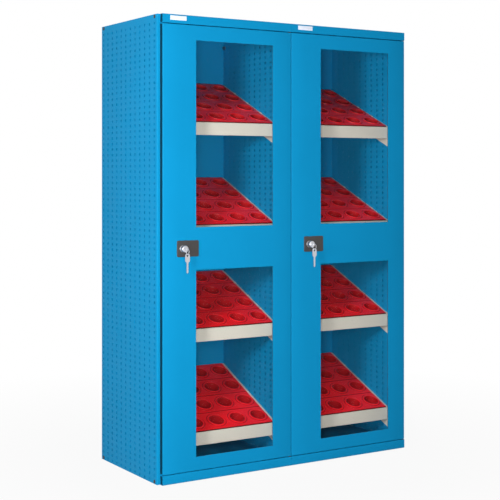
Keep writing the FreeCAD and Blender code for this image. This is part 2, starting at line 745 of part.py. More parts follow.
def make_key_ring(name, axis, rim):
    """A wire ring over the front rim of the bow, with the spare key hanging on it."""
    inner = "(ring_radius - ring_wire)"
    centre = f"({axis[1]} + key_thickness/2 + ring_clear - {inner})"
    ring = doc.addObject("Part::Torus", "ring")
    bind(ring, "Radius1", "ring_radius")
    bind(ring, "Radius2", "ring_wire")
    ring.Placement = FreeCAD.Placement(FreeCAD.Vector(), TURNS["x"])
    place(ring, axis[0], rim, centre)

    flat = about(rim, "key_thickness")
    hole = f"({centre} - ring_radius - key_hole_radius + ring_wire + seat_gap)"
    top = f"({hole} + key_hole_radius + key_rim)"
    upper = f"({top} - spare_bow_width/2)"
    lower = f"({top} - spare_bow_height + spare_bow_width/2)"
    tip = f"({top} - spare_bow_height - spare_blade_length)"
    spare = [
        round_bar("y", "spare_bow_width/2", flat, (axis[0], upper)),
        round_bar("y", "spare_bow_width/2", flat, (axis[0], lower)),
        box(about(axis[0], "spare_bow_width"), flat, (lower, upper)),
        box(about(axis[0], "key_blade_width"), flat, (tip, lower)),
    ]
    eye = round_bar("y", "key_hole_radius", flat, (axis[0], hole))
    group(f"{name}_key_ring", [ring, cut(joined(spare), [eye])])


def make_rods(name, bay, axis):
    """Flat rods beside the lock axis, each driven by a crank pin in a cross slot, and their guides."""
    depth = outward(1, ROD_FRONT, "rod_thickness")
    guides = []
    for end_name, end in ENDS:
        middle = f"({axis[0]} + ({end})*rod_offset)"
        slot_z = f"({axis[1]} - ({end})*rod_travel/2)"
        door_edge = DOOR_TOP if end > 0 else DOOR_BOTTOM
        heel = f"({slot_z} - ({end})*rod_tail)"
        tip = f"({door_edge} - ({end})*rod_setback)"
        span = (heel, tip) if end > 0 else (tip, heel)
        bar = box(about(middle, "rod_width"), depth, span)
        near = f"({axis[0]} + ({end})*(rod_travel/2 - crank_pin_radius - rod_slot_clear))"
        reach = "rod_travel*(sqrt(2) - 1)/2 + 2*(crank_pin_radius + rod_slot_clear)"
        slot = box(outward(end, near, reach), depth, about(slot_z, "2*(crank_pin_radius + rod_slot_clear)"))
        node(f"{name}_{end_name}_rod", cut(bar, [slot]))

        guide_y = (f"({DOOR_FRONT} + plate)", f"({ROD_FRONT} + rod_thickness + guide_wall)")
        window_y = (f"{ROD_FRONT} - rod_guide_clear", f"{ROD_FRONT} + rod_thickness + rod_guide_clear")
        window_x = about(middle, "rod_width + 2*rod_guide_clear")
        for spot in (f"({axis[1]} + ({end})*guide_from_lock)", f"({door_edge} - ({end})*guide_from_edge)"):
            guide_z = about(spot, "guide_height")
            body = box(about(middle, "guide_width"), guide_y, guide_z)
            guides.append(cut(body, [box(window_x, window_y, guide_z)]))
    group(f"{name}_rod_guides", guides)


def rack_origin(bay, rack):
    """Front top edge of a rack, in the middle of its bay."""
    reach = (
        size("lock_plate_depth") + size("seat_gap") + size("knob_length") + size("key_bow_length")
        - size("key_rim") / 2 + size("ring_radius") + size("ring_wire"))
    door_front = (reach - size("front_depth") - size("body_depth")) / 2
    row = count("rows_below_count") + rack * count("hook_rows_per_rack")
    hook = size("hole_row_margin") + row * row_pitch()
    middle = bay * size("bay_width") / 2
    return FreeCAD.Vector(middle, door_front + size("rack_setback"), hook + size("hook_drop"))


def block(x, y, z):
    """A plain box between low and high numbers."""
    return Part.makeBox(x[1] - x[0], y[1] - y[0], z[1] - z[0], FreeCAD.Vector(x[0], y[0], z[0]))


def row_pitch():
    """Hole row to hole row."""
    return (size("cabinet_height") - 2 * size("hole_row_margin")) / (count("hole_rows") - 1)


def column_pitch():
    """Hole column to hole column."""
    return (size("body_depth") - 2 * size("hole_column_margin")) / (count("hole_columns") - 1)


def rack_half_width():
    """Half the outside width of a rack."""
    return size("bay_width") / 2 - size("wall_inset") - size("rack_clear")


def rack_length():
    """Length of a rack along its slope, up to the back panel."""
    room = size("front_depth") + size("body_depth") - size("back_inset") - size("rack_setback")
    return (room - size("rack_back_clear")) / math.cos(math.radians(size("rack_tilt")))


def strip_pitch():
    """Strip to strip along the slope."""
    return (rack_length() - size("rack_land")) / count("strip_count")


def rack_shape():
    """A welded rack, its front top edge at the origin: two sides, two rails, flanges, tabs and hooks."""
    half = rack_half_width()
    steel = size("rack_plate")
    tilt = math.radians(size("rack_tilt"))
    length = rack_length()
    run = length * math.cos(tilt)
    rise = length * math.sin(tilt)
    drop = size("rack_side_depth")
    rail = size("rack_rail_height")
    slope = FreeCAD.Rotation(FreeCAD.Vector(1, 0, 0), size("rack_tilt"))

    sloped = []
    flat = (-steel, 0)
    front_lip = size("rack_land") - size("seat_gap")
    back_lip = size("strip_gap") - size("seat_gap")
    for lip_span in ((0, front_lip), (length - back_lip, length)):
        sloped.append(block((-half, half), lip_span, flat))
    tab_half = size("tab_length") / 2
    for side in (-1, 1):
        flange = sorted((side * half, side * (half - size("rack_flange"))))
        sloped.append(block(flange, (0, length), flat))
        tab_x = sorted((side * (half - steel), side * (half - steel - size("tab_width"))))
        for gap in range(1, count("strip_count")):
            middle = size("rack_land") + gap * strip_pitch() - size("strip_gap") / 2
            tab_y = (middle - tab_half, middle + tab_half)
            sloped.append(block(tab_x, tab_y, (-steel, size("tab_height"))))
    pieces = []
    for piece in sloped:
        piece.rotate(FreeCAD.Vector(), slope.Axis, size("rack_tilt"))
        pieces.append(piece)

    pieces.append(block((-half, half), (0, steel), (-rail, 0)))
    pieces.append(block((-half, half), (run - steel, run), (rise - rail, rise)))
    corners = ((0, 0), (run, rise), (run, rise - drop), (0, -drop), (0, 0))
    for start in (-half, half - steel):
        outline = Part.makePolygon([FreeCAD.Vector(start, y, z) for y, z in corners])
        pieces.append(Part.Face(outline).extrude(FreeCAD.Vector(steel, 0, 0)))

    column_zero = size("front_depth") - size("rack_setback") + size("hole_column_margin")
    hole_half = size("hole_side") / 2
    back_of_wall = half + size("rack_clear") + size("plate") + size("seat_gap")
    front_hook = (count("columns_before_front_count"), 0)
    back_hook = (count("columns_before_back_count"), count("rows_climbed_count"))
    for columns, rows in (front_hook, back_hook):
        y = column_zero + columns * column_pitch()
        z = rows * row_pitch() - size("hook_drop") - hole_half
        hook_y = (y - size("hook_width") / 2, y + size("hook_width") / 2)
        for side in (-1, 1):
            neck = sorted((side * (half - steel), side * (back_of_wall + size("hook_reach"))))
            lip_x = sorted((side * back_of_wall, side * (back_of_wall + size("hook_reach"))))
            pieces.append(block(neck, hook_y, (z, z + size("hook_height"))))
            pieces.append(block(lip_x, hook_y, (z - size("hook_height"), z + size("hook_height"))))
    return pieces[0].multiFuse(pieces[1:]).removeSplitter()


def strip_shape():
    """A moulded strip lying flat: a deck with skirts and open sockets in raised rims."""
    half = rack_half_width() - size("strip_end_gap")
    width = strip_pitch() - size("strip_gap")
    deck = size("deck_thickness")
    skirt = size("skirt_thickness")
    skirt_half = half - size("skirt_end_gap")
    bore = size("socket_radius")
    upward = FreeCAD.Vector(0, 0, 1)
    pieces = [block((-half, half), (0, width), (0, deck))]
    inset = size("skirt_inset")
    for start in (inset, width - inset - skirt):
        skirt_y = (start, start + skirt)
        pieces.append(block((-skirt_half, skirt_half), skirt_y, (-size("skirt_depth"), deck)))
    bores = []
    first = size("socket_left_margin") - half
    last = half - size("socket_right_margin")
    for socket in range(count("socket_count")):
        x = first + (last - first) * socket / (count("socket_count") - 1)
        foot = FreeCAD.Vector(x, width / 2, -size("socket_depth"))
        height = size("socket_depth") + deck + size("rim_height")
        sleeve_height = size("socket_depth") + deck
        pieces.append(Part.makeCylinder(bore + size("socket_wall"), sleeve_height, foot, upward))
        rim_foot = FreeCAD.Vector(x, width / 2, 0)
        rim_top = deck + size("rim_height")
        pieces.append(Part.makeCylinder(bore + size("rim_width"), rim_top, rim_foot, upward))
        bores.append(Part.makeCylinder(bore, height, foot, upward))
    return pieces[0].multiFuse(pieces[1:]).cut(bores).removeSplitter()


def make_racks():
    """The racks of each bay, and the socket strips that lie on them."""
    rack = rack_shape()
    strip = strip_shape()
    slope = FreeCAD.Rotation(FreeCAD.Vector(1, 0, 0), size("rack_tilt"))
    for name, bay in BAYS:
        strips = []
        for level in range(count("rack_count")):
            origin = rack_origin(bay, level)
            feature = shaped(f"{name}_tool_rack_{level + 1}", rack)
            feature.Placement = FreeCAD.Placement(origin, FreeCAD.Rotation())
            for row in range(count("strip_count")):
                along_slope = FreeCAD.Vector(0, size("rack_land") + row * strip_pitch(), 0)
                spot = FreeCAD.Placement(origin + slope.multVec(along_slope), slope)
                strips.append(strip.transformed(spot.toMatrix()))
        shaped(f"{name}_tool_strips", Part.makeCompound(strips))


make_end_panels()
make_bay_walls()
make_joining_bolts()
make_carcass()
make_rails()
make_hinges()
make_doors()
make_glazing()
make_front_plates()
make_locks()
make_racks()
doc.recompute()

for thing in doc.Objects:
    if {"Invalid", "Error"} & set(thing.State):
        raise RuntimeError(f"{thing.Label} failed: {thing.State}")
for name, thing in NODES.items():
    if thing.Shape.isNull() or not thing.Shape.isValid() or not thing.Shape.Solids:
        raise RuntimeError(f"{name} has no valid solid")

os.makedirs("parts", exist_ok=True)
for name, thing in NODES.items():
    thing.Shape.exportStep(f"parts/{name}.step")
    print(name, len(thing.Shape.Solids), round(thing.Shape.Volume), thing.Shape.BoundBox)
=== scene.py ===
import math

import bpy
import numpy as np
from bpy.props import FloatProperty, FloatVectorProperty, IntProperty, PointerProperty
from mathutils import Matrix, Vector


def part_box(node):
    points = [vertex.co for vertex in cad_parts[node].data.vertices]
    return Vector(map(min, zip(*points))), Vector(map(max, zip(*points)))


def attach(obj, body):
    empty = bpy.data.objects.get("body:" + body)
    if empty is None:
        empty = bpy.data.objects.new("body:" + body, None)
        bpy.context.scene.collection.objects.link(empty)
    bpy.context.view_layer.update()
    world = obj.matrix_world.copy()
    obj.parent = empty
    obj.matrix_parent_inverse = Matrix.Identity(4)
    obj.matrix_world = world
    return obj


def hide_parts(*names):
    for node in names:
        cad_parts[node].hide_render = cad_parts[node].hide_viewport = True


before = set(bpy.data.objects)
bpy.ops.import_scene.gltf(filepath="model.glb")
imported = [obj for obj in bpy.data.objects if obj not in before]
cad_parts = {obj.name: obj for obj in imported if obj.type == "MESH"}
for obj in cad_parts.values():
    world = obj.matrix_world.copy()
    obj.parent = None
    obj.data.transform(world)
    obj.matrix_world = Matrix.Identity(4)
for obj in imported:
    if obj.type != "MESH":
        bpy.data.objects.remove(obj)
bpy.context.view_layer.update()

bl_info = {
    "name": "Tool-holder cabinet",
    "version": (1, 0, 0),
    "blender": (4, 5, 0),
    "location": "View3D > Sidebar > Cabinet",
    "description": "Dresses a two-bay sheet-steel cabinet with its panels, doors, locks and racks",
    "category": "Object",
}

BAYS = ("left", "right")
SIDES = ("left", "right")
MILLIMETRE = 0.001


def extent(node):
    """Lowest and highest corner of a solid, as arrays."""
    low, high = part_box(node)
    return np.array(low), np.array(high)


def middle_of(node):
    """Middle of a solid, as an array."""
    return sum(extent(node)) / 2


# Carcass and doors. SNUG times the sheet's thickness is clear of the inner face of a sheet.
DOOR_FRONT = float(extent("left_door_panel")[0][1])
SNUG = 1.01
TOLERANCE = 1e-6
END_BACKING = 4 * MILLIMETRE
WALL_BACKING = 11 * MILLIMETRE
RAIL_LIP = 12 * MILLIMETRE
ROD_PLAY = 1 * MILLIMETRE
DOOR_HEM = 4 * MILLIMETRE
GRIP = 16 * MILLIMETRE
# The dark strip behind each door's grip edge paints the shade in the gap beside the door.
SHADE_STRIP_LEFT = 1.4 * MILLIMETRE
SHADE_STRIP_FRONT = 0.8 * MILLIMETRE
SHADE_STRIP_BACK = 0.05 * MILLIMETRE
LOCK_HOLE_HALF = 10.2 * MILLIMETRE
LABEL_WIDTH = 79 * MILLIMETRE
LABEL_CORNER = 2 * MILLIMETRE
LABEL_BEVEL = 0.4 * MILLIMETRE

# Locks and keys. The knob's profile is given as shares of its radius and depths behind its face in
# millimetres, the screw's as radii and heights above the panel in millimetres.
PLATE_CORNER = 6 * MILLIMETRE
PLATE_BEVEL = 1.4 * MILLIMETRE
KNOB_PROFILE = (
    (0.55, 0.0), (0.74, 0.0), (0.84, 0.35), (0.92, 1.0), (0.98, 2.2), (1.0, 3.6), (1.0, 14.5),
    (0.985, 15.6), (0.93, 16.6), (0.86, 17.3), (0.835, 18.4), (0.835, 22.8), (0.86, 23.6),
    (0.95, 23.9), (0.97, 24.3), (0.97, 25.6), (0.95, 26.0), (0.4, 26.0), (0.4, 38.0))
KEY_HOLE = 5 * MILLIMETRE
KEY_RIM = 4 * MILLIMETRE
KEY_BEVEL = 0.35 * MILLIMETRE
KEY_NECK_HALF = 4.2 * MILLIMETRE
KEY_NECK_LAP = 1 * MILLIMETRE
RING_RADIUS = 13 * MILLIMETRE
RING_WIRE = 1 * MILLIMETRE
RING_PLAY = 0.3 * MILLIMETRE
SPARE_THICKNESS = 2.4 * MILLIMETRE
SPARE_BOW = 38 * MILLIMETRE
BLADE_WIDTH = 8.4 * MILLIMETRE
BLADE_LAP = 1.5 * MILLIMETRE
BLADE_BEVEL = 0.3 * MILLIMETRE
BLADE_CUTS = 5
BOW_CORNER_SHARE = 0.42
BLADE_THICKNESS_SHARE = 0.9
CUT_DEPTH_SHARE = 0.14
CUTS_START_SHARE = 0.12
CUTS_RUN_SHARE = 0.76
BLADE_TIP_SHARE = 0.12
BLADE_BACK_SHARE = 0.93
SCREW_CAP = 8 * MILLIMETRE
SCREW_PROFILE = (
    (1.0, 3.0), (3.2, 2.95), (5.3, 2.6), (6.9, 1.9), (7.7, 1.0), (8.0, 0.3), (8.0, 0.0),
    (5.0, 0.0), (5.0, -36.0))

# Racks. Hooks sit in holes counted in columns from the front and rows from the lower hook.
RACK_COUNT = 4
RACK_SIDE = 95 * MILLIMETRE
RACK_LENGTH = 512 * MILLIMETRE
RACK_STEEL = 2 * MILLIMETRE
RACK_BEND = 2.6 * MILLIMETRE
RACK_RAIL = 55 * MILLIMETRE
RACK_FOLD = 18 * MILLIMETRE
RACK_BAR = 3 * MILLIMETRE
TAB_OUTER = 2 * MILLIMETRE
TAB_INNER = 11 * MILLIMETRE
TAB_HALF = 4 * MILLIMETRE
TAB_TOP = 6 * MILLIMETRE
HOOK_HOLES = ((2, 0), (9, 6))
FIRST_COLUMN = -48 * MILLIMETRE
HOOK_SEAT = 46.75 * MILLIMETRE
HOOK_ROOT = 2 * MILLIMETRE
HOOK_WALL = 3.8 * MILLIMETRE
HOOK_REACH = 6.8 * MILLIMETRE
HOOK_HALF = 5 * MILLIMETRE
HOOK_RISE = 8 * MILLIMETRE
HOOK_TIP_SHARE = 0.98
RACK_HALF = np.ptp(extent("left_tool_rack_1"), 0)[0] / 2 - HOOK_REACH

# Socket strips, from the front edge of a rack, and the deck, rim and groove round a socket
STRIP_HALF = np.ptp(extent("left_tool_strips"), 0)[0] / 2
STRIP_COUNT = 4
SOCKET_COUNT = 5
SOCKET_SHIFT = 27 * MILLIMETRE
LAND = 8 * MILLIMETRE
STRIP_GAP = 4 * MILLIMETRE
FRONT_LIP = LAND * 0.96
BACK_LIP = STRIP_GAP * 0.92
DECK = 5 * MILLIMETRE
# Dark bars in the gaps between strips paint the shade there.
GAP_SHADE_DROP = 1 * MILLIMETRE
GAP_SHADE_PLAY = 0.2 * MILLIMETRE
SKIRT_INSET = 24 * MILLIMETRE
SKIRT_WALL = 3 * MILLIMETRE
SKIRT_FRONT = 12 * MILLIMETRE
SKIRT_BACK = 15 * MILLIMETRE
SKIRT_DROP = 14 * MILLIMETRE
SLEEVE_WALL = 4 * MILLIMETRE
SLEEVE_PLAY = 0.05 * MILLIMETRE
SOCKET_RIM = 8 * MILLIMETRE
RIM_RISE = 2 * MILLIMETRE
GROOVE_WIDTH = 4 * MILLIMETRE
GROOVE_DEPTH = 3 * MILLIMETRE
SOFT_EDGE = 0.7 * MILLIMETRE

# Points round a socket, a knob, a screw, the key ring and its wire, and the angle of a sharp edge
SOCKET_SPOKES = 40
CELL_SPOKES = 36
KNOB_SPOKES = 48
SCREW_SPOKES = 28
RING_SPOKES = 48
WIRE_SPOKES = 10
SHARP_ANGLE = math.radians(30)

# Stage, in metres: each lamp's name, place, aim, and width and height; and how far the floor goes,
# from where to where its glow rises and from which share
LAMPS = (
    ("side", (-2.95, -2.2, 1.75), (0.0, -0.2, 1.2), (0.6, 0.6)),
    ("fill", (-2.2, -3.5, 0.9), (0.0, 0.0, 1.0), (0.6, 1.2)),
    ("top", (-2.4, -4.0, 5.2), (0.0, -0.2, 0.8), (1.2, 1.2)),
    ("left", (-4.5, -1.2, 1.9), (0.0, -0.2, 1.2), (0.6, 0.6)),
)
FLOOR_REACH = 40.0
FLOOR_GREY = 0.25
GLOW_FROM = 0.8
GLOW_TO = 2.6
GLOW_SHARE = 0.94


# Settings

def length_property(name, description, default, low, high):
    """A length that can be set, in metres."""
    return FloatProperty(
        name=name, description=description, default=default, min=low, max=high, unit="LENGTH")


def colour_property(name, description, default):
    """A colour that can be set, as linear light."""
    return FloatVectorProperty(
        name=name, description=description, default=default, size=3, min=0, max=1, subtype="COLOR")


def power_property(name, description, default):
    """The power of a lamp, in watts."""
    return FloatProperty(
        name=name, description=description, default=default, min=0, max=3000,
        subtype="POWER", unit="POWER")


class CabinetSizes(bpy.types.PropertyGroup):
    """Sizes of the dressed sheet metal and fittings."""

    sheet: length_property("Sheet", "Thickness of the folded steel", 0.0015, 0.0005, 0.004)
    fold_radius: length_property("Fold radius", "Outer radius of a fold", 0.0026, 0.0016, 0.008)
    hole_side: length_property(
        "Hole side", "Side of one square hole of the perforation", 0.0112, 0.004, 0.02)
    hole_column_pitch: length_property(
        "Column pitch", "Hole to hole, front to back", 0.046, 0.02, 0.1)
    hole_row_pitch: length_property("Row pitch", "Hole to hole, upwards", 0.025316, 0.015, 0.1)
    hole_columns: IntProperty(
        name="Columns", description="Hole columns of one panel", default=12, min=2, max=30)
    hole_rows: IntProperty(
        name="Rows", description="Hole rows of one panel", default=77, min=2, max=120)
    rack_tilt: FloatProperty(
        name="Rack tilt", description="Slope of the racks",
        default=math.radians(24), min=0, max=1, subtype="ANGLE", unit="ROTATION")
    strip_pitch: length_property("Strip pitch", "Strip to strip along the slope", 0.126, 0.05, 0.2)
    socket_pitch: length_property("Socket pitch", "Socket to socket in a strip", 0.110, 0.05, 0.2)
    socket_radius: length_property("Socket radius", "Bore of a socket", 0.035, 0.01, 0.05)
    socket_depth: length_property(
        "Socket depth", "Sleeve of a socket below the deck", 0.046, 0.01, 0.08)
    window_width: length_property("Window width", "Clear width of a door window", 0.394, 0.1, 0.5)
    window_height: length_property("Window height", "Clear height of a door window", 0.804, 0.1, 0.9)


class CabinetColours(bpy.types.PropertyGroup):
    """Colours of the finishes, as linear light."""

    paint: colour_property(
        "Cabinet paint", "Blue powder coat of the carcass and doors", (0.0040, 0.254, 0.513))
    rack: colour_property("Rack paint", "Beige powder coat of the racks", (0.656, 0.624, 0.542))
    strip: colour_property("Strip plastic", "Red plastic of the socket strips", (0.985, 0.010, 0.018))
    lock_plate: colour_property("Lock plate", "Dark plastic of the lock plates", (0.032, 0.030, 0.030))
    label: colour_property("Label card", "Blank card of the label holders", (0.780, 0.840, 0.960))


class CabinetStage(bpy.types.PropertyGroup):
    """Lamps, backdrop and camera."""

    ambient: FloatProperty(
        name="Ambient", description="Strength of the even light all round", default=0.2, min=0, max=3)
    side_power: power_property("Side lamp", "Lamp at the front left, for doors and bay walls", 66)
    fill_power: power_property("Fill lamp", "Tall lamp beside the camera, for the bays", 94)
    top_power: power_property("Top lamp", "Lamp at the upper left, for doors and strips", 46)
    left_power: power_property("Left lamp", "Lamp at the far left, for the end panel", 38)
    camera_place: FloatVectorProperty(
        name="Camera", description="Place of the camera", size=3,
        default=(-2.9986, DOOR_FRONT - 4.4256, 1.3212), subtype="TRANSLATION", unit="LENGTH")
    camera_turn: FloatProperty(
        name="Camera turn", description="Turn of the view from straight ahead, to the right",
        default=math.radians(32.11), subtype="ANGLE", unit="ROTATION")
    focal_length: FloatProperty(
        name="Focal length", description="Lens, in millimetres of a 36 mm frame", default=85.0, min=10)
    rise: FloatProperty(
        name="Lens shift", description="Vertical shift of the frame, in frame widths", default=-0.1528)


# Meshes

class Shell:
    """Vertices and faces, gathered from several surfaces into one mesh."""

    def __init__(self):
        self.points = []
        self.faces = []
        self.total = 0

    def add(self, points, quads, caps=()):
        """Take over a surface and turn it outwards: its signed volume, the sum of the
        corner products of its faces, has to be positive."""
        points = np.asarray(points, float).reshape(-1, 3)
        quads = np.asarray(quads, int).reshape(-1, 4)
        caps = [np.asarray(cap, int) for cap in caps]
        fans = [quads[:, [0, 1, 2]], quads[:, [0, 2, 3]]]
        for cap in caps:
            fans.append(np.stack([np.full(len(cap) - 2, cap[0]), cap[1:-1], cap[2:]], 1))
        corners = points[np.concatenate(fans)] - points.mean(0)
        volume = np.einsum("ij,ij->i", corners[:, 0], np.cross(corners[:, 1], corners[:, 2])).sum()
        if volume < 0:
            quads = quads[:, ::-1]
            caps = [cap[::-1] for cap in caps]
        self.points.append(points)
        self.faces += (quads + self.total).tolist() + [(cap + self.total).tolist() for cap in caps]
        self.total += len(points)

    def piece(self, name, body, finish, *replaced):
        """Make the mesh in a finish, let it ride on a body and stand for the solids it replaces."""
        points = np.concatenate(self.points)
        used, faces = self.compact()
        mesh = bpy.data.meshes.new(name)
        mesh.from_pydata(points[used].tolist(), [], faces)
        mesh.polygons.foreach_set("use_smooth", np.ones(len(mesh.polygons), bool))
        mesh.set_sharp_from_angle(angle=SHARP_ANGLE)
        mesh.materials.append(FINISHES[finish])
        mesh.validate()
        thing = bpy.data.objects.new(name, mesh)
        bpy.context.scene.collection.objects.link(thing)
        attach(thing, body)
        if replaced:
            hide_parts(*replaced)

    def compact(self):
        """Indices of the vertices that faces use, and the faces in the new count."""
        used = np.unique(np.concatenate([np.asarray(face) for face in self.faces]))
        fresh = np.zeros(self.total, int)
        fresh[used] = np.arange(len(used))
        return used, [fresh[face].tolist() for face in self.faces]


def edge_walls(index, solid, offset):
    """Quads between two skins along every border of the solid cells."""
    padded = np.pad(solid, 1)
    before, after = padded[1:-1, :-1], padded[1:-1, 1:]
    above, below = padded[:-1, 1:-1], padded[1:, 1:-1]
    walls = []
    for mask, start, end in (
        (after & ~before, index[:-1, :], index[1:, :]),
        (before & ~after, index[1:, :], index[:-1, :]),
        (above & ~below, index[:, :-1], index[:, 1:]),
        (below & ~above, index[:, 1:], index[:, :-1]),
    ):
        first, last = start[mask], end[mask]
        walls.append(np.stack([last, first, first + offset, last + offset], 1))
    return np.concatenate(walls)


def add_sheet(shell, outer, inner, open_cells=None):
    """A closed sheet between two skins, each a grid of points over the same two parameters.
    Open cells are left out of both skins, and walls join the skins round every hole and rim."""
    rows, columns = outer.shape[:2]
    index = np.arange(rows * columns).reshape(rows, columns)
    solid = np.ones((rows - 1, columns - 1), bool) if open_cells is None else ~open_cells
    cells = np.stack([index[:-1, :-1], index[1:, :-1], index[1:, 1:], index[:-1, 1:]], -1)[solid]
    offset = rows * columns
    quads = np.concatenate([cells, cells[:, ::-1] + offset, edge_walls(index, solid, offset)])
    points = np.concatenate([outer.reshape(-1, 3), inner.reshape(-1, 3)])
    shell.add(points, quads)


def add_block(shell, low, high):
    """A plain box: a sheet of one cell between its two end faces."""
    x, z = np.meshgrid([low[0], high[0]], [low[2], high[2]], indexing="ij")
    front = np.stack([x, np.full_like(x, low[1]), z], -1)
    back = np.stack([x, np.full_like(x, high[1]), z], -1)
    add_sheet(shell, front, back)


def add_rings(shell, rings, closed=False):
    """A surface through a stack of rings, each with the same count of points. Its two ends are
    capped, unless the stack closes on itself."""
    count, around = rings.shape[:2]
    index = np.arange(count * around).reshape(count, around)
    lower = index if closed else index[:-1]
    upper = np.roll(index, -1, 0) if closed else index[1:]
    quads = np.stack([lower, np.roll(lower, -1, 1), np.roll(upper, -1, 1), upper], -1).reshape(-1, 4)
    caps = () if closed else (index[0][::-1], index[-1])
    shell.add(rings.reshape(-1, 3), quads, caps)


def folded_line(corners, radius, steps=4):
    """A path in a plane through corners, each bend replaced by an arc of the given radius.
    Returns its points and the unit normals on its left."""
    corners = np.asarray(corners, float)
    ways = np.diff(corners, axis=0)
    ways /= np.linalg.norm(ways, axis=1)[:, None]
    lefts = np.stack([-ways[:, 1], ways[:, 0]], 1)
    points, normals = [corners[:1]], [lefts[:1]]
    for corner, way_in, way_out, left in zip(corners[1:-1], ways, ways[1:], lefts):
        turn = math.atan2(way_in[0] * way_out[1] - way_in[1] * way_out[0], way_in @ way_out)
        if abs(turn) < TOLERANCE:
            points.append(corner[None])
            normals.append(left[None])
            continue
        start = corner - way_in * radius * math.tan(abs(turn) / 2)
        angles = np.linspace(0, turn, steps + 1)
        cosines, sines = np.cos(angles), np.sin(angles)
        arc = np.stack([left[0] * cosines - left[1] * sines, left[0] * sines + left[1] * cosines], 1)
        points.append(start + math.copysign(radius, turn) * (left - arc))
        normals.append(arc)
    points.append(corners[-1:])
    normals.append(lefts[-1:])
    return np.concatenate(points), np.concatenate(normals)


def carried(path, lines, order):
    """Points of a plane path carried along straight lines; order places the three coordinates."""
    first = np.repeat(path[:, None, :], len(lines), 1)
    along = np.broadcast_to(lines[None, :, None], (len(path), len(lines), 1))
    return np.concatenate([first, along], 2)[..., order]


def mids(values):
    """Middles between neighbouring values."""
    return (values[1:] + values[:-1]) / 2


def between(values, low, high):
    """Cells of a line whose middles lie between low and high."""
    middle = mids(values)
    return (middle > low) & (middle < high)


def at_level(points, level):
    """Points of a plane, all raised to one level."""
    return np.concatenate([points, np.full((len(points), 1), level)], 1)


def circle(count, radius=1.0):
    """Points round a circle."""
    angles = np.linspace(0, 2 * math.pi, count, endpoint=False)
    return np.stack([np.cos(angles), np.sin(angles)], 1) * radius


def spun(profile, spokes):
    """Rings of a profile of radii and levels, turned about an axis: each radius times the unit
    spokes, raised to its level."""
    profile = np.asarray(profile, float)
    levels = np.broadcast_to(profile[:, 1:, None], (len(profile), len(spokes), 1))
    return np.concatenate([profile[:, :1, None] * spokes[None], levels], 2)


def rounded_rectangle(width, height, radius, steps=6):
    """Outline of a rectangle whose corners are quarter circles."""
    quarter = np.linspace(0, math.pi / 2, steps + 1)
    arc = np.stack([np.cos(quarter), np.sin(quarter)], 1) * radius
    parts = []
    for turn, (x, z) in enumerate(((1, 1), (-1, 1), (-1, -1), (1, -1))):
        cosine, sine = math.cos(turn * math.pi / 2), math.sin(turn * math.pi / 2)
        centre = np.array([x * (width / 2 - radius), z * (height / 2 - radius)])
        parts.append(arc @ np.array([[cosine, sine], [-sine, cosine]]) + centre)
    return np.concatenate(parts)


def bevelled_levels(depth, bevel, steps=3):
    """Inset and depth of the rings that round both edges of a plate."""
    angles = np.linspace(0, math.pi / 2, steps + 1)
    inset = bevel * (1 - np.sin(angles))
    level = bevel * (1 - np.cos(angles))
    return np.concatenate([inset, inset[::-1]]), np.concatenate([level, (depth - level)[::-1]])


def add_plate(shell, node, left, width, corner, bevel):
    """A flat plate as high and deep as a solid, with rounded corners: its outline is drawn in by
    the bevel at front and back."""
    low, high = extent(node)
    height = high[2] - low[2]
    centre = (left + width / 2, (low[2] + high[2]) / 2)
    rings = []
    for inset, level in zip(*bevelled_levels(high[1] - low[1], bevel)):
        soft = max(corner - inset, bevel * 0.2)
        outline = rounded_rectangle(width - 2 * inset, height - 2 * inset, soft) + centre
        rings.append(at_level(outline, low[1] + level)[:, [0, 2, 1]])
    add_rings(shell, np.stack(rings))


# Finishes. A grain is the scale of its noise and its depth.
POWDER_GRAIN = (900.0, 0.06 * MILLIMETRE)
MOULDED_GRAIN = (1400.0, 0.05 * MILLIMETRE)
GRAIN_STRENGTH = 0.25
GLOSS_SPREAD = 0.12
FINISHES = {}


def new_material(name):
    """An empty material with its shader and output."""
    material = bpy.data.materials.new(name)
    material.use_nodes = True
    tree = material.node_tree
    return material, tree, tree.nodes["Principled BSDF"]


def noise(tree, coordinates, scale, detail=4.0, roughness=0.55):
    """Cloudy noise on the object's own coordinates."""
    node = tree.nodes.new("ShaderNodeTexNoise")
    node.inputs["Scale"].default_value = scale
    node.inputs["Detail"].default_value = detail
    node.inputs["Roughness"].default_value = roughness
    tree.links.new(coordinates, node.inputs["Vector"])
    return node.outputs["Fac"]


def ranged(tree, source, low, high, start=0.3, end=0.7):
    """Map a value from one range to another."""
    node = tree.nodes.new("ShaderNodeMapRange")
    node.inputs["From Min"].default_value = start
    node.inputs["From Max"].default_value = end
    node.inputs["To Min"].default_value = low
    node.inputs["To Max"].default_value = high
    tree.links.new(source, node.inputs["Value"])
    return node.outputs["Result"]


def blended(tree, factor, first, second):
    """Blend of two plain colours."""
    node = tree.nodes.new("ShaderNodeMix")
    node.data_type = "RGBA"
    tree.links.new(factor, node.inputs["Factor"])
    for name, value in (("A", first), ("B", second)):
        socket = [item for item in node.inputs if item.name == name and item.type == "RGBA"][0]
        socket.default_value = (*value, 1.0)
    return [item for item in node.outputs if item.type == "RGBA"][0]


def shade(colour, factor):
    """A colour made darker or lighter."""
    return tuple(min(1.0, channel * factor) for channel in colour)


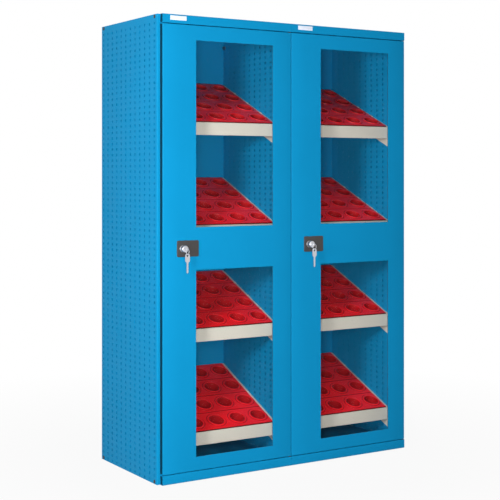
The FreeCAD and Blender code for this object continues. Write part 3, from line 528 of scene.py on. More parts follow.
def surface_finish(name, colour, roughness, grain, spread, metallic=0.0, cloud=3.0, specular=0.5):
    """A finish with broad faint patches, a fine grain in the bump and a varied gloss."""
    material, tree, shader = new_material(name)
    place = tree.nodes.new("ShaderNodeTexCoord").outputs["Object"]
    patches = ranged(tree, noise(tree, place, cloud), 0.0, 1.0)
    tone = blended(tree, patches, shade(colour, 1 - spread), shade(colour, 1 + spread))
    tree.links.new(tone, shader.inputs["Base Color"])
    duller = min(1.0, roughness * (1 + GLOSS_SPREAD))
    gloss = ranged(tree, noise(tree, place, cloud * 4), roughness * (1 - GLOSS_SPREAD), duller)
    tree.links.new(gloss, shader.inputs["Roughness"])
    shader.inputs["Metallic"].default_value = metallic
    shader.inputs["Specular IOR Level"].default_value = specular
    scale, depth = grain
    bump = tree.nodes.new("ShaderNodeBump")
    bump.inputs["Strength"].default_value = GRAIN_STRENGTH
    bump.inputs["Distance"].default_value = depth
    tree.links.new(noise(tree, place, scale, 2.0), bump.inputs["Height"])
    tree.links.new(bump.outputs["Normal"], shader.inputs["Normal"])
    return material


def clear_finish():
    """Clear sheet: almost all light passes, with a smooth faint gloss."""
    material, _, shader = new_material("clear_sheet")
    shader.inputs["Base Color"].default_value = (0.05, 0.06, 0.065, 1.0)
    shader.inputs["Roughness"].default_value = 0.04
    shader.inputs["Alpha"].default_value = 0.02
    return material


def make_finishes():
    """All finishes of the cabinet by name."""
    colours = bpy.context.scene.cabinet_colours
    paint, rack, strip = tuple(colours.paint), tuple(colours.rack), tuple(colours.strip)
    dark, card = tuple(colours.lock_plate), tuple(colours.label)
    for name, colour, roughness, grain, spread, others in (
        ("cabinet_paint", paint, 0.42, POWDER_GRAIN, 0.03, dict(specular=0.05)),
        # A darker copy of the cabinet paint: painted shade for the strips and plates in recesses and
        # channel ends.
        ("recess_paint", shade(paint, 0.16), 0.7, POWDER_GRAIN, 0.05, dict(specular=0.1)),
        ("rack_paint", rack, 0.45, POWDER_GRAIN, 0.03, dict(specular=0.3)),
        ("strip_plastic", strip, 0.38, MOULDED_GRAIN, 0.06, dict(cloud=7.0, specular=0.3)),
        # A dark copy of the strip red: painted shade in the gaps between strips.
        ("joint_plastic", shade(strip, 0.1), 0.6, MOULDED_GRAIN, 0.06, dict(specular=0.1)),
        # A darker copy of the strip red: painted shade in the socket bores and grooves.
        ("sleeve_plastic", shade(strip, 0.45), 0.5, MOULDED_GRAIN, 0.06, dict(specular=0.2)),
        ("cap_plastic", (0.012, 0.012, 0.014), 0.5, (1500.0, 0.04 * MILLIMETRE), 0.1, {}),
        ("lock_plastic", dark, 0.48, (2400.0, 0.08 * MILLIMETRE), 0.1, dict(cloud=30.0)),
        ("bright_metal", (0.58, 0.58, 0.61), 0.32, (500.0, 0.02 * MILLIMETRE), 0.04,
         dict(metallic=1.0, cloud=40.0)),
        ("plain_steel", (0.26, 0.26, 0.27), 0.38, (800.0, 0.04 * MILLIMETRE), 0.1,
         dict(metallic=1.0, cloud=25.0)),
        ("label_plastic", card, 0.3, (1500.0, 0.02 * MILLIMETRE), 0.02, dict(cloud=20.0)),
        ("seal_rubber", (0.02, 0.02, 0.02), 0.7, (1500.0, 0.05 * MILLIMETRE), 0.1, {}),
    ):
        FINISHES[name] = surface_finish(name, colour, roughness, grain, spread, **others)
    FINISHES["clear_sheet"] = clear_finish()


def dress(node, slot):
    """Give a solid that is shown as it is the finish of a slot."""
    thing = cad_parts[node]
    thing.data.materials.clear()
    thing.data.materials.append(FINISHES[slot])


# Pieces

def hole_lines(low, high, pitch, count, side, extra=0):
    """Lines along a panel: its two ends and both edges of each hole, the holes centred on it.
    Extra holes are added before the first."""
    middle = (low + high) / 2
    centres = middle + (np.arange(-extra, count) - (count - 1) / 2) * pitch
    edges = np.stack([centres - side / 2, centres + side / 2], 1).ravel()
    return np.concatenate([[low], edges, [high]]), centres


def over_holes(lines, centres, side):
    """Cells of a line that lie over a hole: their middles are near its centre."""
    return np.abs(mids(lines)[:, None] - centres[None]).min(1) < side * 0.4


def add_perforated_tray(shell, low, high, web_high, sizes):
    """A folded tray whose web, at one end of X, is perforated: the path front edge, web, back
    edge is carried upwards, and the cells over the holes stay open. Flat strips close its
    top and bottom."""
    web, mouth = (high[0], low[0]) if web_high else (low[0], high[0])
    side = sizes.hole_side
    depth_lines, columns = hole_lines(
        low[1], high[1], sizes.hole_column_pitch, sizes.hole_columns, side)
    height_lines, rows = hole_lines(low[2], high[2], sizes.hole_row_pitch, sizes.hole_rows, side, 1)
    corners = np.stack([np.full(len(depth_lines), web), depth_lines], 1)
    corners = np.concatenate([[[mouth, low[1]]], corners, [[mouth, high[1]]]])
    path, normals = folded_line(corners, sizes.fold_radius)
    inner = path + (1 if web_high else -1) * normals * sizes.sheet
    on_web = np.abs(mids(path[:, 0]) - web) < TOLERANCE
    in_column = on_web & over_holes(path[:, 1], columns, side)
    cells = in_column[:, None] & over_holes(height_lines, rows, side)[None]
    skins = [carried(skin, height_lines, [0, 1, 2]) for skin in (path, inner)]
    add_sheet(shell, *skins, cells)
    inset = sizes.sheet * SNUG
    for bottom, top in ((low[2], low[2] + sizes.sheet), (high[2] - sizes.sheet, high[2])):
        add_block(shell, (*(low[:2] + inset), bottom), (*(high[:2] - inset), top))


class CABINET_OT_side_panels(bpy.types.Operator):
    """Perforated cladding panels at both ends and perforated walls of both bays"""

    bl_idname = "cabinet.side_panels"
    bl_label = "Perforated panels"

    def execute(self, context):
        sizes = context.scene.cabinet_sizes
        for side in SIDES:
            self.panel(f"end_panel_{side}", side == "right", END_BACKING, sizes)
            for bay in BAYS:
                self.panel(f"{bay}_bay_{side}_wall", side == "left", WALL_BACKING, sizes)
        return {"FINISHED"}

    def panel(self, node, web_high, backing, sizes):
        """A perforated tray, with a plain sheet behind its web that closes the view through it."""
        low, high = extent(node)
        shell = Shell()
        add_perforated_tray(shell, low, high, web_high, sizes)
        inset = sizes.sheet * 2
        left = high[0] - backing - sizes.sheet if web_high else low[0] + backing
        add_block(shell, (left, *(low[1:] + inset)), (left + sizes.sheet, *(high[1:] - inset)))
        shell.piece(f"perforated_{node}", "cabinet", "cabinet_paint", node)


def rod_slot(rod):
    """Across and depth ranges of the slot that a rod passes through."""
    low, high = extent(rod)
    return (low[0] - ROD_PLAY, high[0] + ROD_PLAY), (low[1] - ROD_PLAY, high[1] + ROD_PLAY)


class CABINET_OT_carcass(bpy.types.Operator):
    """Roofs, bases and backs, shown as their solids, and the folded rails of the fronts"""

    bl_idname = "cabinet.carcass"
    bl_label = "Carcass and rails"

    def execute(self, context):
        sizes = context.scene.cabinet_sizes
        for bay in BAYS:
            for name in ("roof", "base", "back_panel"):
                dress(f"{bay}_bay_{name}", "cabinet_paint")
            for name, end, rod in (("top_rail", 1, "upper"), ("plinth", -1, "lower")):
                self.rail(f"{bay}_bay_{name}", end, f"{bay}_{rod}_rod", sizes)
            self.stop(bay)
        return {"FINISHED"}

    def stop(self, bay):
        """A dark strip on the carcass front behind the door's grip edge, a plain box: painted shade in the
        gap beside the door.
        """
        low, high = extent(f"{bay}_door_panel")
        front = extent(f"{bay}_bay_left_wall")[0][1]
        shell = Shell()
        add_block(
            shell, (low[0] - SHADE_STRIP_LEFT, front - SHADE_STRIP_FRONT, low[2]),
            (low[0] + GRIP, front - SHADE_STRIP_BACK, high[2]))
        shell.piece(f"{bay}_stop_strip", "cabinet", "recess_paint")

    def rail(self, node, end, rod, sizes):
        """A lipped channel: its path, lip, outer fold, front, door fold, lip, is carried across,
        and the cells over the rod's slot stay open."""
        low, high = extent(node)
        slot_width, slot_depth = rod_slot(rod)
        outer, inner = (high[2], low[2]) if end > 0 else (low[2], high[2])
        lip = end * RAIL_LIP
        corners = (
            (high[1], outer - lip), (high[1], outer), (low[1], outer), (low[1], inner),
            (slot_depth[0], inner), (slot_depth[1], inner), (high[1], inner), (high[1], inner + lip))
        path, normals = folded_line(corners, sizes.fold_radius)
        across = np.array([low[0], *slot_width, high[0]])
        on_fold = np.abs(mids(path[:, 1]) - inner) < TOLERANCE
        in_depth = on_fold & between(path[:, 0], *slot_depth)
        cells = in_depth[:, None] & between(across, *slot_width)[None]
        skins = [carried(skin, across, [2, 0, 1]) for skin in (path, path + end * normals * sizes.sheet)]
        shell = Shell()
        add_sheet(shell, *skins, cells)
        shell.piece(f"folded_{node}", "cabinet", "cabinet_paint", node)
        self.ends(node, low, high, sizes.sheet)

    def ends(self, node, low, high, sheet):
        """Thin plates inside both ends of a channel, plain boxes, in a darker paint: painted shade inside
        the channel.
        """
        inset = sheet * SNUG
        shell = Shell()
        for left in (low[0] + sheet / 2, high[0] - sheet * 1.5):
            add_block(shell, (left, *(low[1:] + inset)), (left + sheet, *(high[1:] - inset)))
        shell.piece(f"ends_of_{node}", "cabinet", "recess_paint")


class CABINET_OT_doors(bpy.types.Operator):
    """Folded door sheets with two window openings each"""

    bl_idname = "cabinet.doors"
    bl_label = "Doors"

    def execute(self, context):
        for bay in BAYS:
            self.door(bay, context.scene.cabinet_sizes)
        return {"FINISHED"}

    def door(self, bay, sizes):
        """The path hinge fold, front, short hem is carried upwards; cells over the windows and
        the lock stay open. Flat strips with rod slots close the top and bottom."""
        node = f"{bay}_door_panel"
        low, high = extent(node)
        pane_low, pane_high = extent(f"{bay}_door_window_panes")
        margin = ((pane_high[0] - pane_low[0]) - sizes.window_width) / 2
        window_x = (pane_low[0] + margin, pane_high[0] - margin)
        sills = (pane_low[2] + margin, pane_high[2] - margin - sizes.window_height)
        windows = [(sill, sill + sizes.window_height) for sill in sills]
        lock = middle_of(f"{bay}_lock_sleeve")
        hole_x = (lock[0] - LOCK_HOLE_HALF, lock[0] + LOCK_HOLE_HALF)
        hole_z = (lock[2] - LOCK_HOLE_HALF, lock[2] + LOCK_HOLE_HALF)
        front_lines = (high[0], *window_x[::-1], *hole_x[::-1], low[0])
        corners = [(high[0], high[1]), *((x, low[1]) for x in front_lines), (low[0], low[1] + DOOR_HEM)]
        path, normals = folded_line(corners, sizes.fold_radius)
        z_lines = np.sort([low[2], *hole_z, high[2], *np.ravel(windows)])
        on_front = np.abs(mids(path[:, 1]) - low[1]) < TOLERANCE
        in_window = np.any([between(z_lines, *window) for window in windows], 0)
        glazed = on_front & between(path[:, 0], *window_x)
        pierced = on_front & between(path[:, 0], *hole_x)
        cells = glazed[:, None] & in_window[None]
        cells |= pierced[:, None] & between(z_lines, *hole_z)[None]
        skins = [carried(skin, z_lines, [0, 1, 2]) for skin in (path, path - normals * sizes.sheet)]
        shell = Shell()
        add_sheet(shell, *skins, cells)
        self.returns(shell, bay, low, high, sizes.sheet)
        shell.piece(f"folded_{node}", f"{bay}_door", "cabinet_paint", node)
        self.grip(bay, low, high, sizes.sheet)

    def returns(self, shell, bay, low, high, sheet):
        """Top and bottom strips, flat sheets whose cell over each rod's slot stays open."""
        inset = sheet * SNUG
        for rod, start, way in (("upper", high[2], -1), ("lower", low[2], 1)):
            slot_x, slot_y = rod_slot(f"{bay}_{rod}_rod")
            x = np.array([low[0] + GRIP, *slot_x, high[0] - inset])
            y = np.array([low[1] + inset, *slot_y, high[1]])
            grid = np.stack(np.meshgrid(x, y, indexing="ij"), -1)
            flat = np.full(grid.shape[:2] + (1,), start)
            cells = between(x, *slot_x)[:, None] & between(y, *slot_y)[None]
            skins = [np.concatenate([grid, level], 2) for level in (flat, flat + way * sheet)]
            add_sheet(shell, *skins, cells)

    def grip(self, bay, low, high, sheet):
        """The upright strip behind the grip edge, a plain box in a darker paint: painted shade in the
        recess behind the edge.
        """
        inset = sheet * SNUG
        left = low[0] + GRIP
        shell = Shell()
        add_block(shell, (left, *(low[1:] + inset)), (left + sheet, high[1], high[2] - inset))
        shell.piece(f"{bay}_grip_strip", f"{bay}_door", "recess_paint")


class CABINET_OT_glazing(bpy.types.Operator):
    """Clear panes, rubber seals and retaining frames of the windows"""

    bl_idname = "cabinet.glazing"
    bl_label = "Glazing"

    def execute(self, context):
        for bay in BAYS:
            dress(f"{bay}_door_window_panes", "clear_sheet")
            dress(f"{bay}_door_window_seals", "seal_rubber")
            dress(f"{bay}_door_window_retainers", "plain_steel")
        return {"FINISHED"}


class CABINET_OT_labels(bpy.types.Operator):
    """Blank label cards on the top rails"""

    bl_idname = "cabinet.labels"
    bl_label = "Label holders"

    def execute(self, context):
        node = "label_holders"
        low, high = extent(node)
        shell = Shell()
        for left in (low[0], high[0] - LABEL_WIDTH):
            add_plate(shell, node, left, LABEL_WIDTH, LABEL_CORNER, LABEL_BEVEL)
        shell.piece("label_cards", "cabinet", "label_plastic", node)
        return {"FINISHED"}


class CABINET_OT_locks(bpy.types.Operator):
    """Lock plates, knobs, sleeves, cams, rods and guides"""

    bl_idname = "cabinet.locks"
    bl_label = "Locks"

    def execute(self, context):
        for bay in BAYS:
            self.plate(bay)
            self.knob(bay)
            for name in ("lock_sleeve", "rod_guides", "lock_cam", "upper_rod", "lower_rod"):
                dress(f"{bay}_{name}", "plain_steel")
            dress(f"{bay}_hinge_bushes", "cap_plastic")
        return {"FINISHED"}

    def plate(self, bay):
        """A flat plate with rounded corners and edges."""
        node = f"{bay}_lock_plate"
        low, high = extent(node)
        shell = Shell()
        add_plate(shell, node, low[0], high[0] - low[0], PLATE_CORNER, PLATE_BEVEL)
        shell.piece(f"{bay}_escutcheon", f"{bay}_door", "lock_plastic", node)

    def knob(self, bay):
        """A knob turned about Y: heel flange, waist, a fuller grip and a rounded nose."""
        node = f"{bay}_lock_knob"
        low, high = extent(node)
        profile = np.array(KNOB_PROFILE) * ((high[0] - low[0]) / 2, MILLIMETRE)
        centre = middle_of(node)
        place = np.array([centre[0], low[1], centre[2]])
        shell = Shell()
        add_rings(shell, spun(profile, circle(KNOB_SPOKES))[..., [0, 2, 1]] + place)
        shell.piece(f"{bay}_turned_knob", f"{bay}_lock", "bright_metal", node)


def bow_rings(width, height, hole_rise, thickness):
    """A flat bow as one closed stack of rings round its hole: at each angle the rounded outline
    and the hole are joined over the front and back faces, with the edges bevelled."""
    outline = rounded_rectangle(width, height, width * BOW_CORNER_SHARE, 8) - np.array([0, hole_rise])
    angles = np.arctan2(outline[:, 1], outline[:, 0])
    eye = np.stack([np.cos(angles), np.sin(angles)], 1) * KEY_HOLE
    drawn_in = outline * (1 - KEY_BEVEL / np.linalg.norm(outline, axis=1)[:, None])
    opened = eye * (1 + KEY_BEVEL / KEY_HOLE)
    face = thickness / 2
    edge = face - KEY_BEVEL
    return np.stack([at_level(points, level) for points, level in (
        (eye, -edge), (opened, -face), (drawn_in, -face), (outline, -edge),
        (outline, edge), (drawn_in, face), (opened, face), (eye, edge))])


def blade_rings(length, thickness):
    """A key blade: its outline has shallow cuts along one edge, and is bevelled front and back."""
    width = BLADE_WIDTH
    count = BLADE_CUTS * 2 + 1
    teeth = np.where(np.arange(count) % 2, CUT_DEPTH_SHARE, 0.0) * width
    runs = CUTS_START_SHARE + CUTS_RUN_SHARE * np.linspace(0, 1, count)
    cut_edge = np.stack([width / 2 - teeth, -length * runs], 1)
    tip = width * BLADE_TIP_SHARE
    outline = np.concatenate([
        [[width / 2, 0]], cut_edge, [[tip, -length], [-tip, -length]],
        [[-width / 2, -length * BLADE_BACK_SHARE], [-width / 2, 0]]])
    middle = np.array([0, -length / 2])
    drawn_in = middle + (outline - middle) * (1 - 2 * BLADE_BEVEL / np.array([width, length]))
    face = thickness / 2
    edge = face - BLADE_BEVEL
    return np.stack([at_level(points, level) for points, level in (
        (drawn_in, -face), (outline, -edge), (outline, edge), (drawn_in, face))])


class CABINET_OT_keys(bpy.types.Operator):
    """Keys in the knobs, and key rings with the spare keys"""

    bl_idname = "cabinet.keys"
    bl_label = "Keys"

    def execute(self, context):
        for bay in BAYS:
            self.lock_key(bay)
            self.ring(bay)
        return {"FINISHED"}

    def lock_key(self, bay):
        """The bow lies flat before the knob, its hole near the front; a block is its neck."""
        node = f"{bay}_lock_key"
        low, high = extent(node)
        centre = (low + high) / 2
        knob_face = extent(f"{bay}_lock_knob")[0][1]
        length = knob_face - low[1]
        hole_y = low[1] + KEY_HOLE + KEY_RIM
        rings = bow_rings(high[0] - low[0], length, hole_y - (low[1] + length / 2), high[2] - low[2])
        place = np.array([centre[0], hole_y, centre[2]])
        shell = Shell()
        add_rings(shell, rings * np.array([1, -1, 1]) + place, closed=True)
        add_block(
            shell, (centre[0] - KEY_NECK_HALF, knob_face - KEY_NECK_LAP, low[2]),
            (centre[0] + KEY_NECK_HALF, high[1], high[2]))
        shell.piece(f"{bay}_key", f"{bay}_lock", "bright_metal", node)

    def ring(self, bay):
        """The wire ring is a circle carried round a circle; the spare key hangs in it."""
        node = f"{bay}_key_ring"
        low, high = extent(node)
        middle = (low + high) / 2
        centre_z = high[2] - RING_RADIUS - RING_WIRE
        sweep, section = circle(RING_SPOKES), circle(WIRE_SPOKES, RING_WIRE)
        reach = RING_RADIUS + section[None, :, 0]
        y = middle[1] + reach * sweep[:, None, 0]
        z = centre_z + reach * sweep[:, None, 1]
        x = np.broadcast_to(middle[0] + section[None, :, 1], y.shape)
        shell = Shell()
        add_rings(shell, np.stack([x, y, z], -1), closed=True)
        hole_z = centre_z - RING_RADIUS - KEY_HOLE + RING_WIRE + RING_PLAY
        hole_rise = SPARE_BOW / 2 - KEY_HOLE - KEY_RIM
        bow = bow_rings(high[0] - low[0], SPARE_BOW, hole_rise, SPARE_THICKNESS)
        blade_top = hole_z - hole_rise - SPARE_BOW / 2 + BLADE_LAP
        blade = blade_rings(blade_top - low[2], SPARE_THICKNESS * BLADE_THICKNESS_SHARE)
        for rings, height, is_ring in ((bow, hole_z, True), (blade, blade_top, False)):
            place = np.array([middle[0], middle[1], height])
            add_rings(shell, rings[..., [0, 2, 1]] + place, closed=is_ring)
        shell.piece(f"{bay}_ring_and_spare_key", f"{bay}_keys", "bright_metal", node)


def rack_start(bay, level):
    """Front top edge of a rack in the middle of its bay, read from its solid."""
    low, high = extent(f"{bay}_tool_rack_{level}")
    return np.array([(low[0] + high[0]) / 2, low[1], low[2] + RACK_SIDE])


def laid(points, start, tilt):
    """Points given across, along the slope and above it, turned up by the tilt and moved to start."""
    across, along, above = np.moveaxis(np.asarray(points, float), -1, 0)
    y = along * math.cos(tilt) - above * math.sin(tilt)
    z = along * math.sin(tilt) + above * math.cos(tilt)
    return np.stack([across, y, z], -1) + start


def add_laid_block(shell, low, high, start, tilt):
    """A box on the slope of a rack."""
    across, along = np.meshgrid([low[0], high[0]], [low[1], high[1]], indexing="ij")
    skins = [np.stack([across, along, np.full_like(across, end[2])], -1) for end in (low, high)]
    add_sheet(shell, *(laid(skin, start, tilt) for skin in skins))


class CABINET_OT_racks(bpy.types.Operator):
    """Tilted racks of folded sheet with their hooks"""

    bl_idname = "cabinet.racks"
    bl_label = "Racks"

    def execute(self, context):
        sizes = context.scene.cabinet_sizes
        tilt = sizes.rack_tilt
        slope = np.array([math.cos(tilt), math.sin(tilt)])
        for bay in BAYS:
            for level in range(1, RACK_COUNT + 1):
                start = rack_start(bay, level)
                shell = Shell()
                self.rails(shell, start, slope)
                for side in (-1, 1):
                    self.side(shell, start, slope, side)
                    self.bars(shell, start, side, sizes)
                self.hooks(shell, start, sizes)
                node = f"{bay}_tool_rack_{level}"
                shell.piece(f"folded_{node}", "cabinet", "rack_paint", node)
        return {"FINISHED"}

    def rails(self, shell, start, slope):
        """Front and back rail: a path, sloped lip and upright face, carried across."""
        across = start[0] + np.array([-RACK_HALF, RACK_HALF])
        for top, lip, way in ((slope * 0, FRONT_LIP, 1), (slope * RACK_LENGTH, BACK_LIP, -1)):
            corners = np.array([top + way * slope * lip, top, top - (0, RACK_RAIL)]) + start[1:]
            path, normals = folded_line(corners, RACK_BEND, 5)
            inner = path + way * normals * RACK_STEEL
            add_sheet(shell, *(carried(skin, across, [2, 0, 1]) for skin in (path, inner)))

    def side(self, shell, start, slope, side):
        """The upright plate of one side: a slanted four-sided sheet."""
        far, drop = slope * RACK_LENGTH, np.array([0, RACK_SIDE])
        outline = np.array([[(0, 0), far], [-drop, far - drop]]) + start[1:]
        skins = []
        for inset in (0, RACK_STEEL):
            x = np.full((2, 2, 1), start[0] + side * (RACK_HALF - inset))
            skins.append(np.concatenate([x, outline], 2))
        add_sheet(shell, *skins)

    def bars(self, shell, start, side, sizes):
        """Boxes on the slope of one side: the inward fold, a low bar on it beside the strips, and
        tabs beside the gaps of the strips. Each is given by its inner and outer edge, its two ends,
        its foot and its top."""
        boxes = [
            (RACK_HALF - RACK_FOLD, RACK_HALF, LAND / 2, RACK_LENGTH - STRIP_GAP / 2, -RACK_STEEL, 0),
            (STRIP_HALF + RACK_STEEL, RACK_HALF, LAND, RACK_LENGTH - STRIP_GAP, -RACK_STEEL / 2, RACK_BAR)]
        for gap in range(1, STRIP_COUNT):
            middle = LAND + gap * sizes.strip_pitch - STRIP_GAP / 2
            boxes.append((
                RACK_HALF - TAB_INNER, RACK_HALF - TAB_OUTER, middle - TAB_HALF, middle + TAB_HALF,
                -RACK_STEEL / 2, TAB_TOP))
        for inner, outer, front, back, foot, top in boxes:
            left, right = sorted((side * inner, side * outer))
            add_laid_block(shell, (left, front, foot), (right, back, top), start, sizes.rack_tilt)

    def hooks(self, shell, start, sizes):
        """Hooks of two boxes, which pass through the wall's holes and turn down behind it."""
        for column, row in HOOK_HOLES:
            y = start[1] + FIRST_COLUMN + column * sizes.hole_column_pitch
            z = start[2] - HOOK_SEAT + row * sizes.hole_row_pitch
            for side in (-1, 1):
                for root, foot, top in (
                        (-HOOK_ROOT, 0.0, HOOK_RISE), (HOOK_WALL, -HOOK_RISE, HOOK_RISE * HOOK_TIP_SHARE)):
                    ends = (side * (RACK_HALF + root), side * (RACK_HALF + HOOK_REACH))
                    left, right = start[0] + min(ends), start[0] + max(ends)
                    add_block(shell, (left, y - HOOK_HALF, z + foot), (right, y + HOOK_HALF, z + top))


class CABINET_OT_strips(bpy.types.Operator):
    """Moulded strips with open sockets in raised rims"""

    bl_idname = "cabinet.strips"
    bl_label = "Socket strips"

    def execute(self, context):
        sizes = context.scene.cabinet_sizes
        for bay in BAYS:
            decks, sleeves, joints = Shell(), Shell(), Shell()
            for level in range(1, RACK_COUNT + 1):
                start = rack_start(bay, level)
                for row in range(STRIP_COUNT):
                    foot = LAND + row * sizes.strip_pitch
                    self.strip(decks, sleeves, start, foot, sizes)
                    self.joint(joints, start, foot, sizes)
            node = f"{bay}_tool_strips"
            decks.piece(f"moulded_{node}", "cabinet", "strip_plastic", node)
            sleeves.piece(f"{bay}_socket_sleeves", "cabinet", "sleeve_plastic")
            joints.piece(f"{bay}_strip_joints", "cabinet", "joint_plastic")
        return {"FINISHED"}

    def strip(self, decks, sleeves, start, foot, sizes):
        """A deck of five socket cells over two skirts, with a sleeve below each socket and a ring in the
        groove
        round it, both in a darker red: painted shade in the bore and the groove."""
        tilt = sizes.rack_tilt
        width = sizes.strip_pitch - STRIP_GAP
        numbers = np.arange(SOCKET_COUNT) - (SOCKET_COUNT - 1) / 2
        centres = numbers * sizes.socket_pitch + SOCKET_SHIFT
        bounds = np.concatenate([[-STRIP_HALF], mids(centres), [STRIP_HALF]])
        for centre, left, right in zip(centres, bounds, bounds[1:]):
            place = np.array([centre, foot + width / 2, 0])
            cell = self.cell(sizes.socket_radius, left - centre, right - centre, width / 2)
            add_rings(decks, laid(cell + place, start, tilt), closed=True)
            for profile in (self.sleeve(sizes), self.groove_shade_ring(sizes)):
                rings = spun(profile, circle(SOCKET_SPOKES))
                add_rings(sleeves, laid(rings + place, start, tilt), closed=True)
        reach = STRIP_HALF - SKIRT_INSET
        for front in (foot + SKIRT_FRONT, foot + width - SKIRT_BACK):
            add_laid_block(
                decks, (-reach, front, -SKIRT_DROP), (reach, front + SKIRT_WALL, DECK / 2), start, tilt)

    def joint(self, joints, start, foot, sizes):
        """A dark bar in the gap before a strip, a little below its deck: painted shade in the gap."""
        low = (-STRIP_HALF, foot - STRIP_GAP + GAP_SHADE_PLAY, GAP_SHADE_PLAY)
        high = (STRIP_HALF, foot - GAP_SHADE_PLAY, DECK - GAP_SHADE_DROP)
        add_laid_block(joints, low, high, start, sizes.rack_tilt)

    def sleeve(self, sizes):
        """Profile of one sleeve: down its outer wall, under its foot and up the bore to the rim."""
        bore, foot, small = sizes.socket_radius, -sizes.socket_depth, SOFT_EDGE
        wall = bore + SLEEVE_WALL
        return (
            (wall, DECK), (wall, foot + small), (wall - small, foot), (bore + small, foot),
            (bore, foot + small), (bore, DECK))

    def groove_shade_ring(self, sizes):
        """Profile of a flat dark ring that lies in the groove round a socket's rim: painted shade in the
        groove.
        """
        inner = sizes.socket_radius + SOCKET_RIM
        outer = inner + GROOVE_WIDTH
        low, high = DECK - GROOVE_DEPTH - SOFT_EDGE, DECK - SOFT_EDGE
        return (inner, low), (outer, low), (outer, high), (inner, high)

    def cell(self, bore, left, right, half):
        """One closed stack of rings: up round the socket, over the rounded rim, down into a groove
        round it, out over the deck to the cell's rectangle and back below it. All rings have the
        same angles."""
        corners = np.arctan2([half, half, -half, -half], [right, left, left, right])
        even = np.linspace(-math.pi, math.pi, CELL_SPOKES, endpoint=False)
        angles = np.sort(np.concatenate([even, corners]))
        spokes = np.stack([np.cos(angles), np.sin(angles)], 1)
        small, wall, rim = SOFT_EDGE, bore + SLEEVE_WALL + SLEEVE_PLAY, bore + SOCKET_RIM
        top, groove, deep = DECK + RIM_RISE, rim + GROOVE_WIDTH, DECK - GROOVE_DEPTH
        rings = spun((
            (wall, 0.0), (wall, DECK + small), (bore, DECK + small), (bore, top - 2 * small),
            (bore + small * 0.6, top - small * 0.6), (bore + 2 * small, top), (rim - small, top),
            (rim - small * 0.3, top - small * 0.3), (rim, top - small), (rim, deep), (groove, deep),
            (groove, DECK - small), (groove + small, DECK)), spokes)
        with np.errstate(divide="ignore"):
            reach_x = np.where(spokes[:, 0] > 0, right, left) / spokes[:, 0]
            reach_y = half / np.abs(spokes[:, 1])
        border = spokes * np.minimum(reach_x, reach_y)[:, None]
        drawn_in = border * (1, (half - small) / half)
        frames = [at_level(drawn_in, DECK), at_level(border, DECK - small), at_level(border, 0.0)]
        return np.concatenate([rings, np.stack(frames)])


class CABINET_OT_fasteners(bpy.types.Operator):
    """Capped cladding screws, joining bolts and hinge pins"""

    bl_idname = "cabinet.fasteners"
    bl_label = "Fasteners"

    def execute(self, context):
        for name in ("joining_bolts", "joining_nuts", "hinge_pins"):
            dress(name, "plain_steel")
        self.screws()
        return {"FINISHED"}

    def screws(self):
        """Domed caps on plain shanks, turned about X, at the corners of the end panels."""
        node = "end_panel_screws"
        rings = spun(np.array(SCREW_PROFILE) * MILLIMETRE, circle(SCREW_SPOKES))[..., [2, 0, 1]]
        low, high = extent(node)
        shell = Shell()
        for side, way in zip(SIDES, (-1, 1)):
            panel_low, panel_high = extent(f"end_panel_{side}")
            face = panel_high[0] if way > 0 else panel_low[0]
            for y in (low[1] + SCREW_CAP, high[1] - SCREW_CAP):
                for z in (low[2] + SCREW_CAP, high[2] - SCREW_CAP):
                    add_rings(shell, rings * np.array([way, 1, 1]) + np.array([face, y, z]))
        shell.piece("capped_screws", "cabinet", "cap_plastic", node)


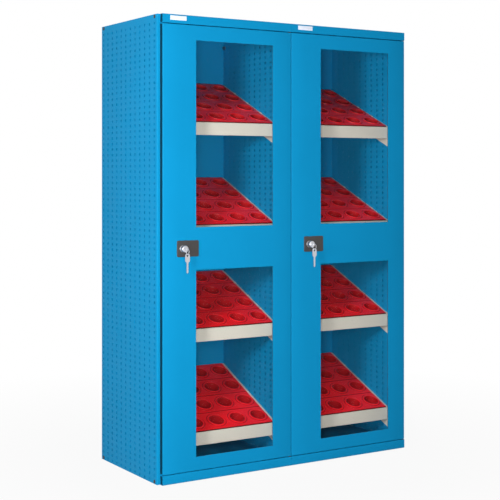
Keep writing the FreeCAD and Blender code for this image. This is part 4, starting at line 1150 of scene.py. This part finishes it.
class CABINET_OT_stage(bpy.types.Operator):
    """Pale floor, even light, four soft lamps and the camera"""

    bl_idname = "cabinet.stage"
    bl_label = "Stage"

    def execute(self, context):
        stage = context.scene.cabinet_stage
        context.scene.view_settings.view_transform = "Standard"
        self.floor()
        self.world(context, stage)
        for name, place, aim, size in LAMPS:
            self.lamp(f"{name}_lamp", place, aim, size, getattr(stage, f"{name}_power"))
        self.camera(context, stage)
        return {"FINISHED"}

    def seen(self, tree):
        """One where the camera, a reflection or a clear sheet looks at the surface."""
        path = tree.nodes.new("ShaderNodeLightPath")
        total = path.outputs["Is Camera Ray"]
        for name in ("Is Glossy Ray", "Is Transmission Ray"):
            node = tree.nodes.new("ShaderNodeMath")
            node.operation = "MAXIMUM"
            tree.links.new(total, node.inputs[0])
            tree.links.new(path.outputs[name], node.inputs[1])
            total = node.outputs[0]
        return total

    def floor(self):
        """A wide pale plane that glows for the camera, more with the distance from the cabinet."""
        mesh = bpy.data.meshes.new("floor")
        reach = FLOOR_REACH
        corners = [(-reach, -reach, 0), (reach, -reach, 0), (reach, reach, 0), (-reach, reach, 0)]
        mesh.from_pydata(corners, [], [(0, 1, 2, 3)])
        thing = bpy.data.objects.new("floor", mesh)
        bpy.context.scene.collection.objects.link(thing)
        material, tree, shader = new_material("pale_floor")
        shader.inputs["Base Color"].default_value = (FLOOR_GREY, FLOOR_GREY, FLOOR_GREY, 1.0)
        shader.inputs["Roughness"].default_value = 0.9
        shader.inputs["Specular IOR Level"].default_value = 0.1
        glow = tree.nodes.new("ShaderNodeEmission")
        distance = tree.nodes.new("ShaderNodeVectorMath")
        distance.operation = "LENGTH"
        tree.links.new(tree.nodes.new("ShaderNodeTexCoord").outputs["Object"], distance.inputs[0])
        rising = ranged(tree, distance.outputs["Value"], GLOW_SHARE, 1.0, GLOW_FROM, GLOW_TO)
        share = tree.nodes.new("ShaderNodeMath")
        share.operation = "MULTIPLY"
        tree.links.new(self.seen(tree), share.inputs[0])
        tree.links.new(rising, share.inputs[1])
        mix = tree.nodes.new("ShaderNodeMixShader")
        for source, target in zip((share, shader, glow), mix.inputs):
            tree.links.new(source.outputs[0], target)
        tree.links.new(mix.outputs[0], tree.nodes["Material Output"].inputs["Surface"])
        mesh.materials.append(material)

    def world(self, context, stage):
        """Even light all round, which looks white where it is seen."""
        world = bpy.data.worlds.new("even_light")
        context.scene.world = world
        world.use_nodes = True
        tree = world.node_tree
        background = tree.nodes["Background"]
        background.inputs["Color"].default_value = (1.0, 1.0, 1.0, 1.0)
        strength = ranged(tree, self.seen(tree), stage.ambient, 1.0, 0.0, 1.0)
        tree.links.new(strength, background.inputs["Strength"])

    def lamp(self, name, place, aim, size, power):
        """A flat lamp at a place, turned to its aim."""
        light = bpy.data.lights.new(name, "AREA")
        light.shape = "RECTANGLE"
        light.size, light.size_y = size
        light.energy = power
        thing = bpy.data.objects.new(name, light)
        bpy.context.scene.collection.objects.link(thing)
        way = Vector(aim) - Vector(place)
        thing.location = place
        thing.rotation_euler = way.to_track_quat("-Z", "Y").to_euler()

    def camera(self, context, stage):
        """A level camera whose lens shift keeps uprights parallel."""
        lens = bpy.data.cameras.new("photo_camera")
        lens.sensor_width = 36.0
        lens.lens = stage.focal_length
        lens.shift_y = stage.rise
        lens.clip_end = 200.0
        thing = bpy.data.objects.new("photo_camera", lens)
        context.scene.collection.objects.link(thing)
        thing.location = stage.camera_place
        thing.rotation_euler = (math.pi / 2, 0.0, -stage.camera_turn)
        context.scene.camera = thing


OPERATORS = (
    CABINET_OT_side_panels, CABINET_OT_carcass, CABINET_OT_doors, CABINET_OT_glazing, CABINET_OT_labels,
    CABINET_OT_locks, CABINET_OT_keys, CABINET_OT_racks, CABINET_OT_strips, CABINET_OT_fasteners,
    CABINET_OT_stage,
)
GROUPS = (
    ("cabinet_sizes", CabinetSizes), ("cabinet_colours", CabinetColours), ("cabinet_stage", CabinetStage))


class CABINET_PT_panel(bpy.types.Panel):
    """Lists the pieces of the cabinet and their sizes"""

    bl_idname = "CABINET_PT_panel"
    bl_label = "Cabinet"
    bl_space_type = "VIEW_3D"
    bl_region_type = "UI"
    bl_category = "Cabinet"

    def draw(self, context):
        for operator in OPERATORS:
            self.layout.operator(operator.bl_idname)
        for group_name, _ in GROUPS:
            group = getattr(context.scene, group_name)
            column = self.layout.column()
            for name in group.bl_rna.properties.keys():
                if name not in ("rna_type", "name"):
                    column.prop(group, name)


CLASSES = (CabinetSizes, CabinetColours, CabinetStage, *OPERATORS, CABINET_PT_panel)


def register():
    """Register the classes and hang the settings on the scene."""
    for cls in CLASSES:
        bpy.utils.register_class(cls)
    for name, group in GROUPS:
        setattr(bpy.types.Scene, name, PointerProperty(type=group))


def unregister():
    """Take the settings off the scene and unregister the classes."""
    for name, _ in GROUPS:
        delattr(bpy.types.Scene, name)
    for cls in reversed(CLASSES):
        bpy.utils.unregister_class(cls)


def main():
    """Make all pieces and the stage in order."""
    register()
    make_finishes()
    for operator in OPERATORS:
        family, name = operator.bl_idname.split(".")
        getattr(getattr(bpy.ops, family), name)()


if __name__ == "__main__":
    main()
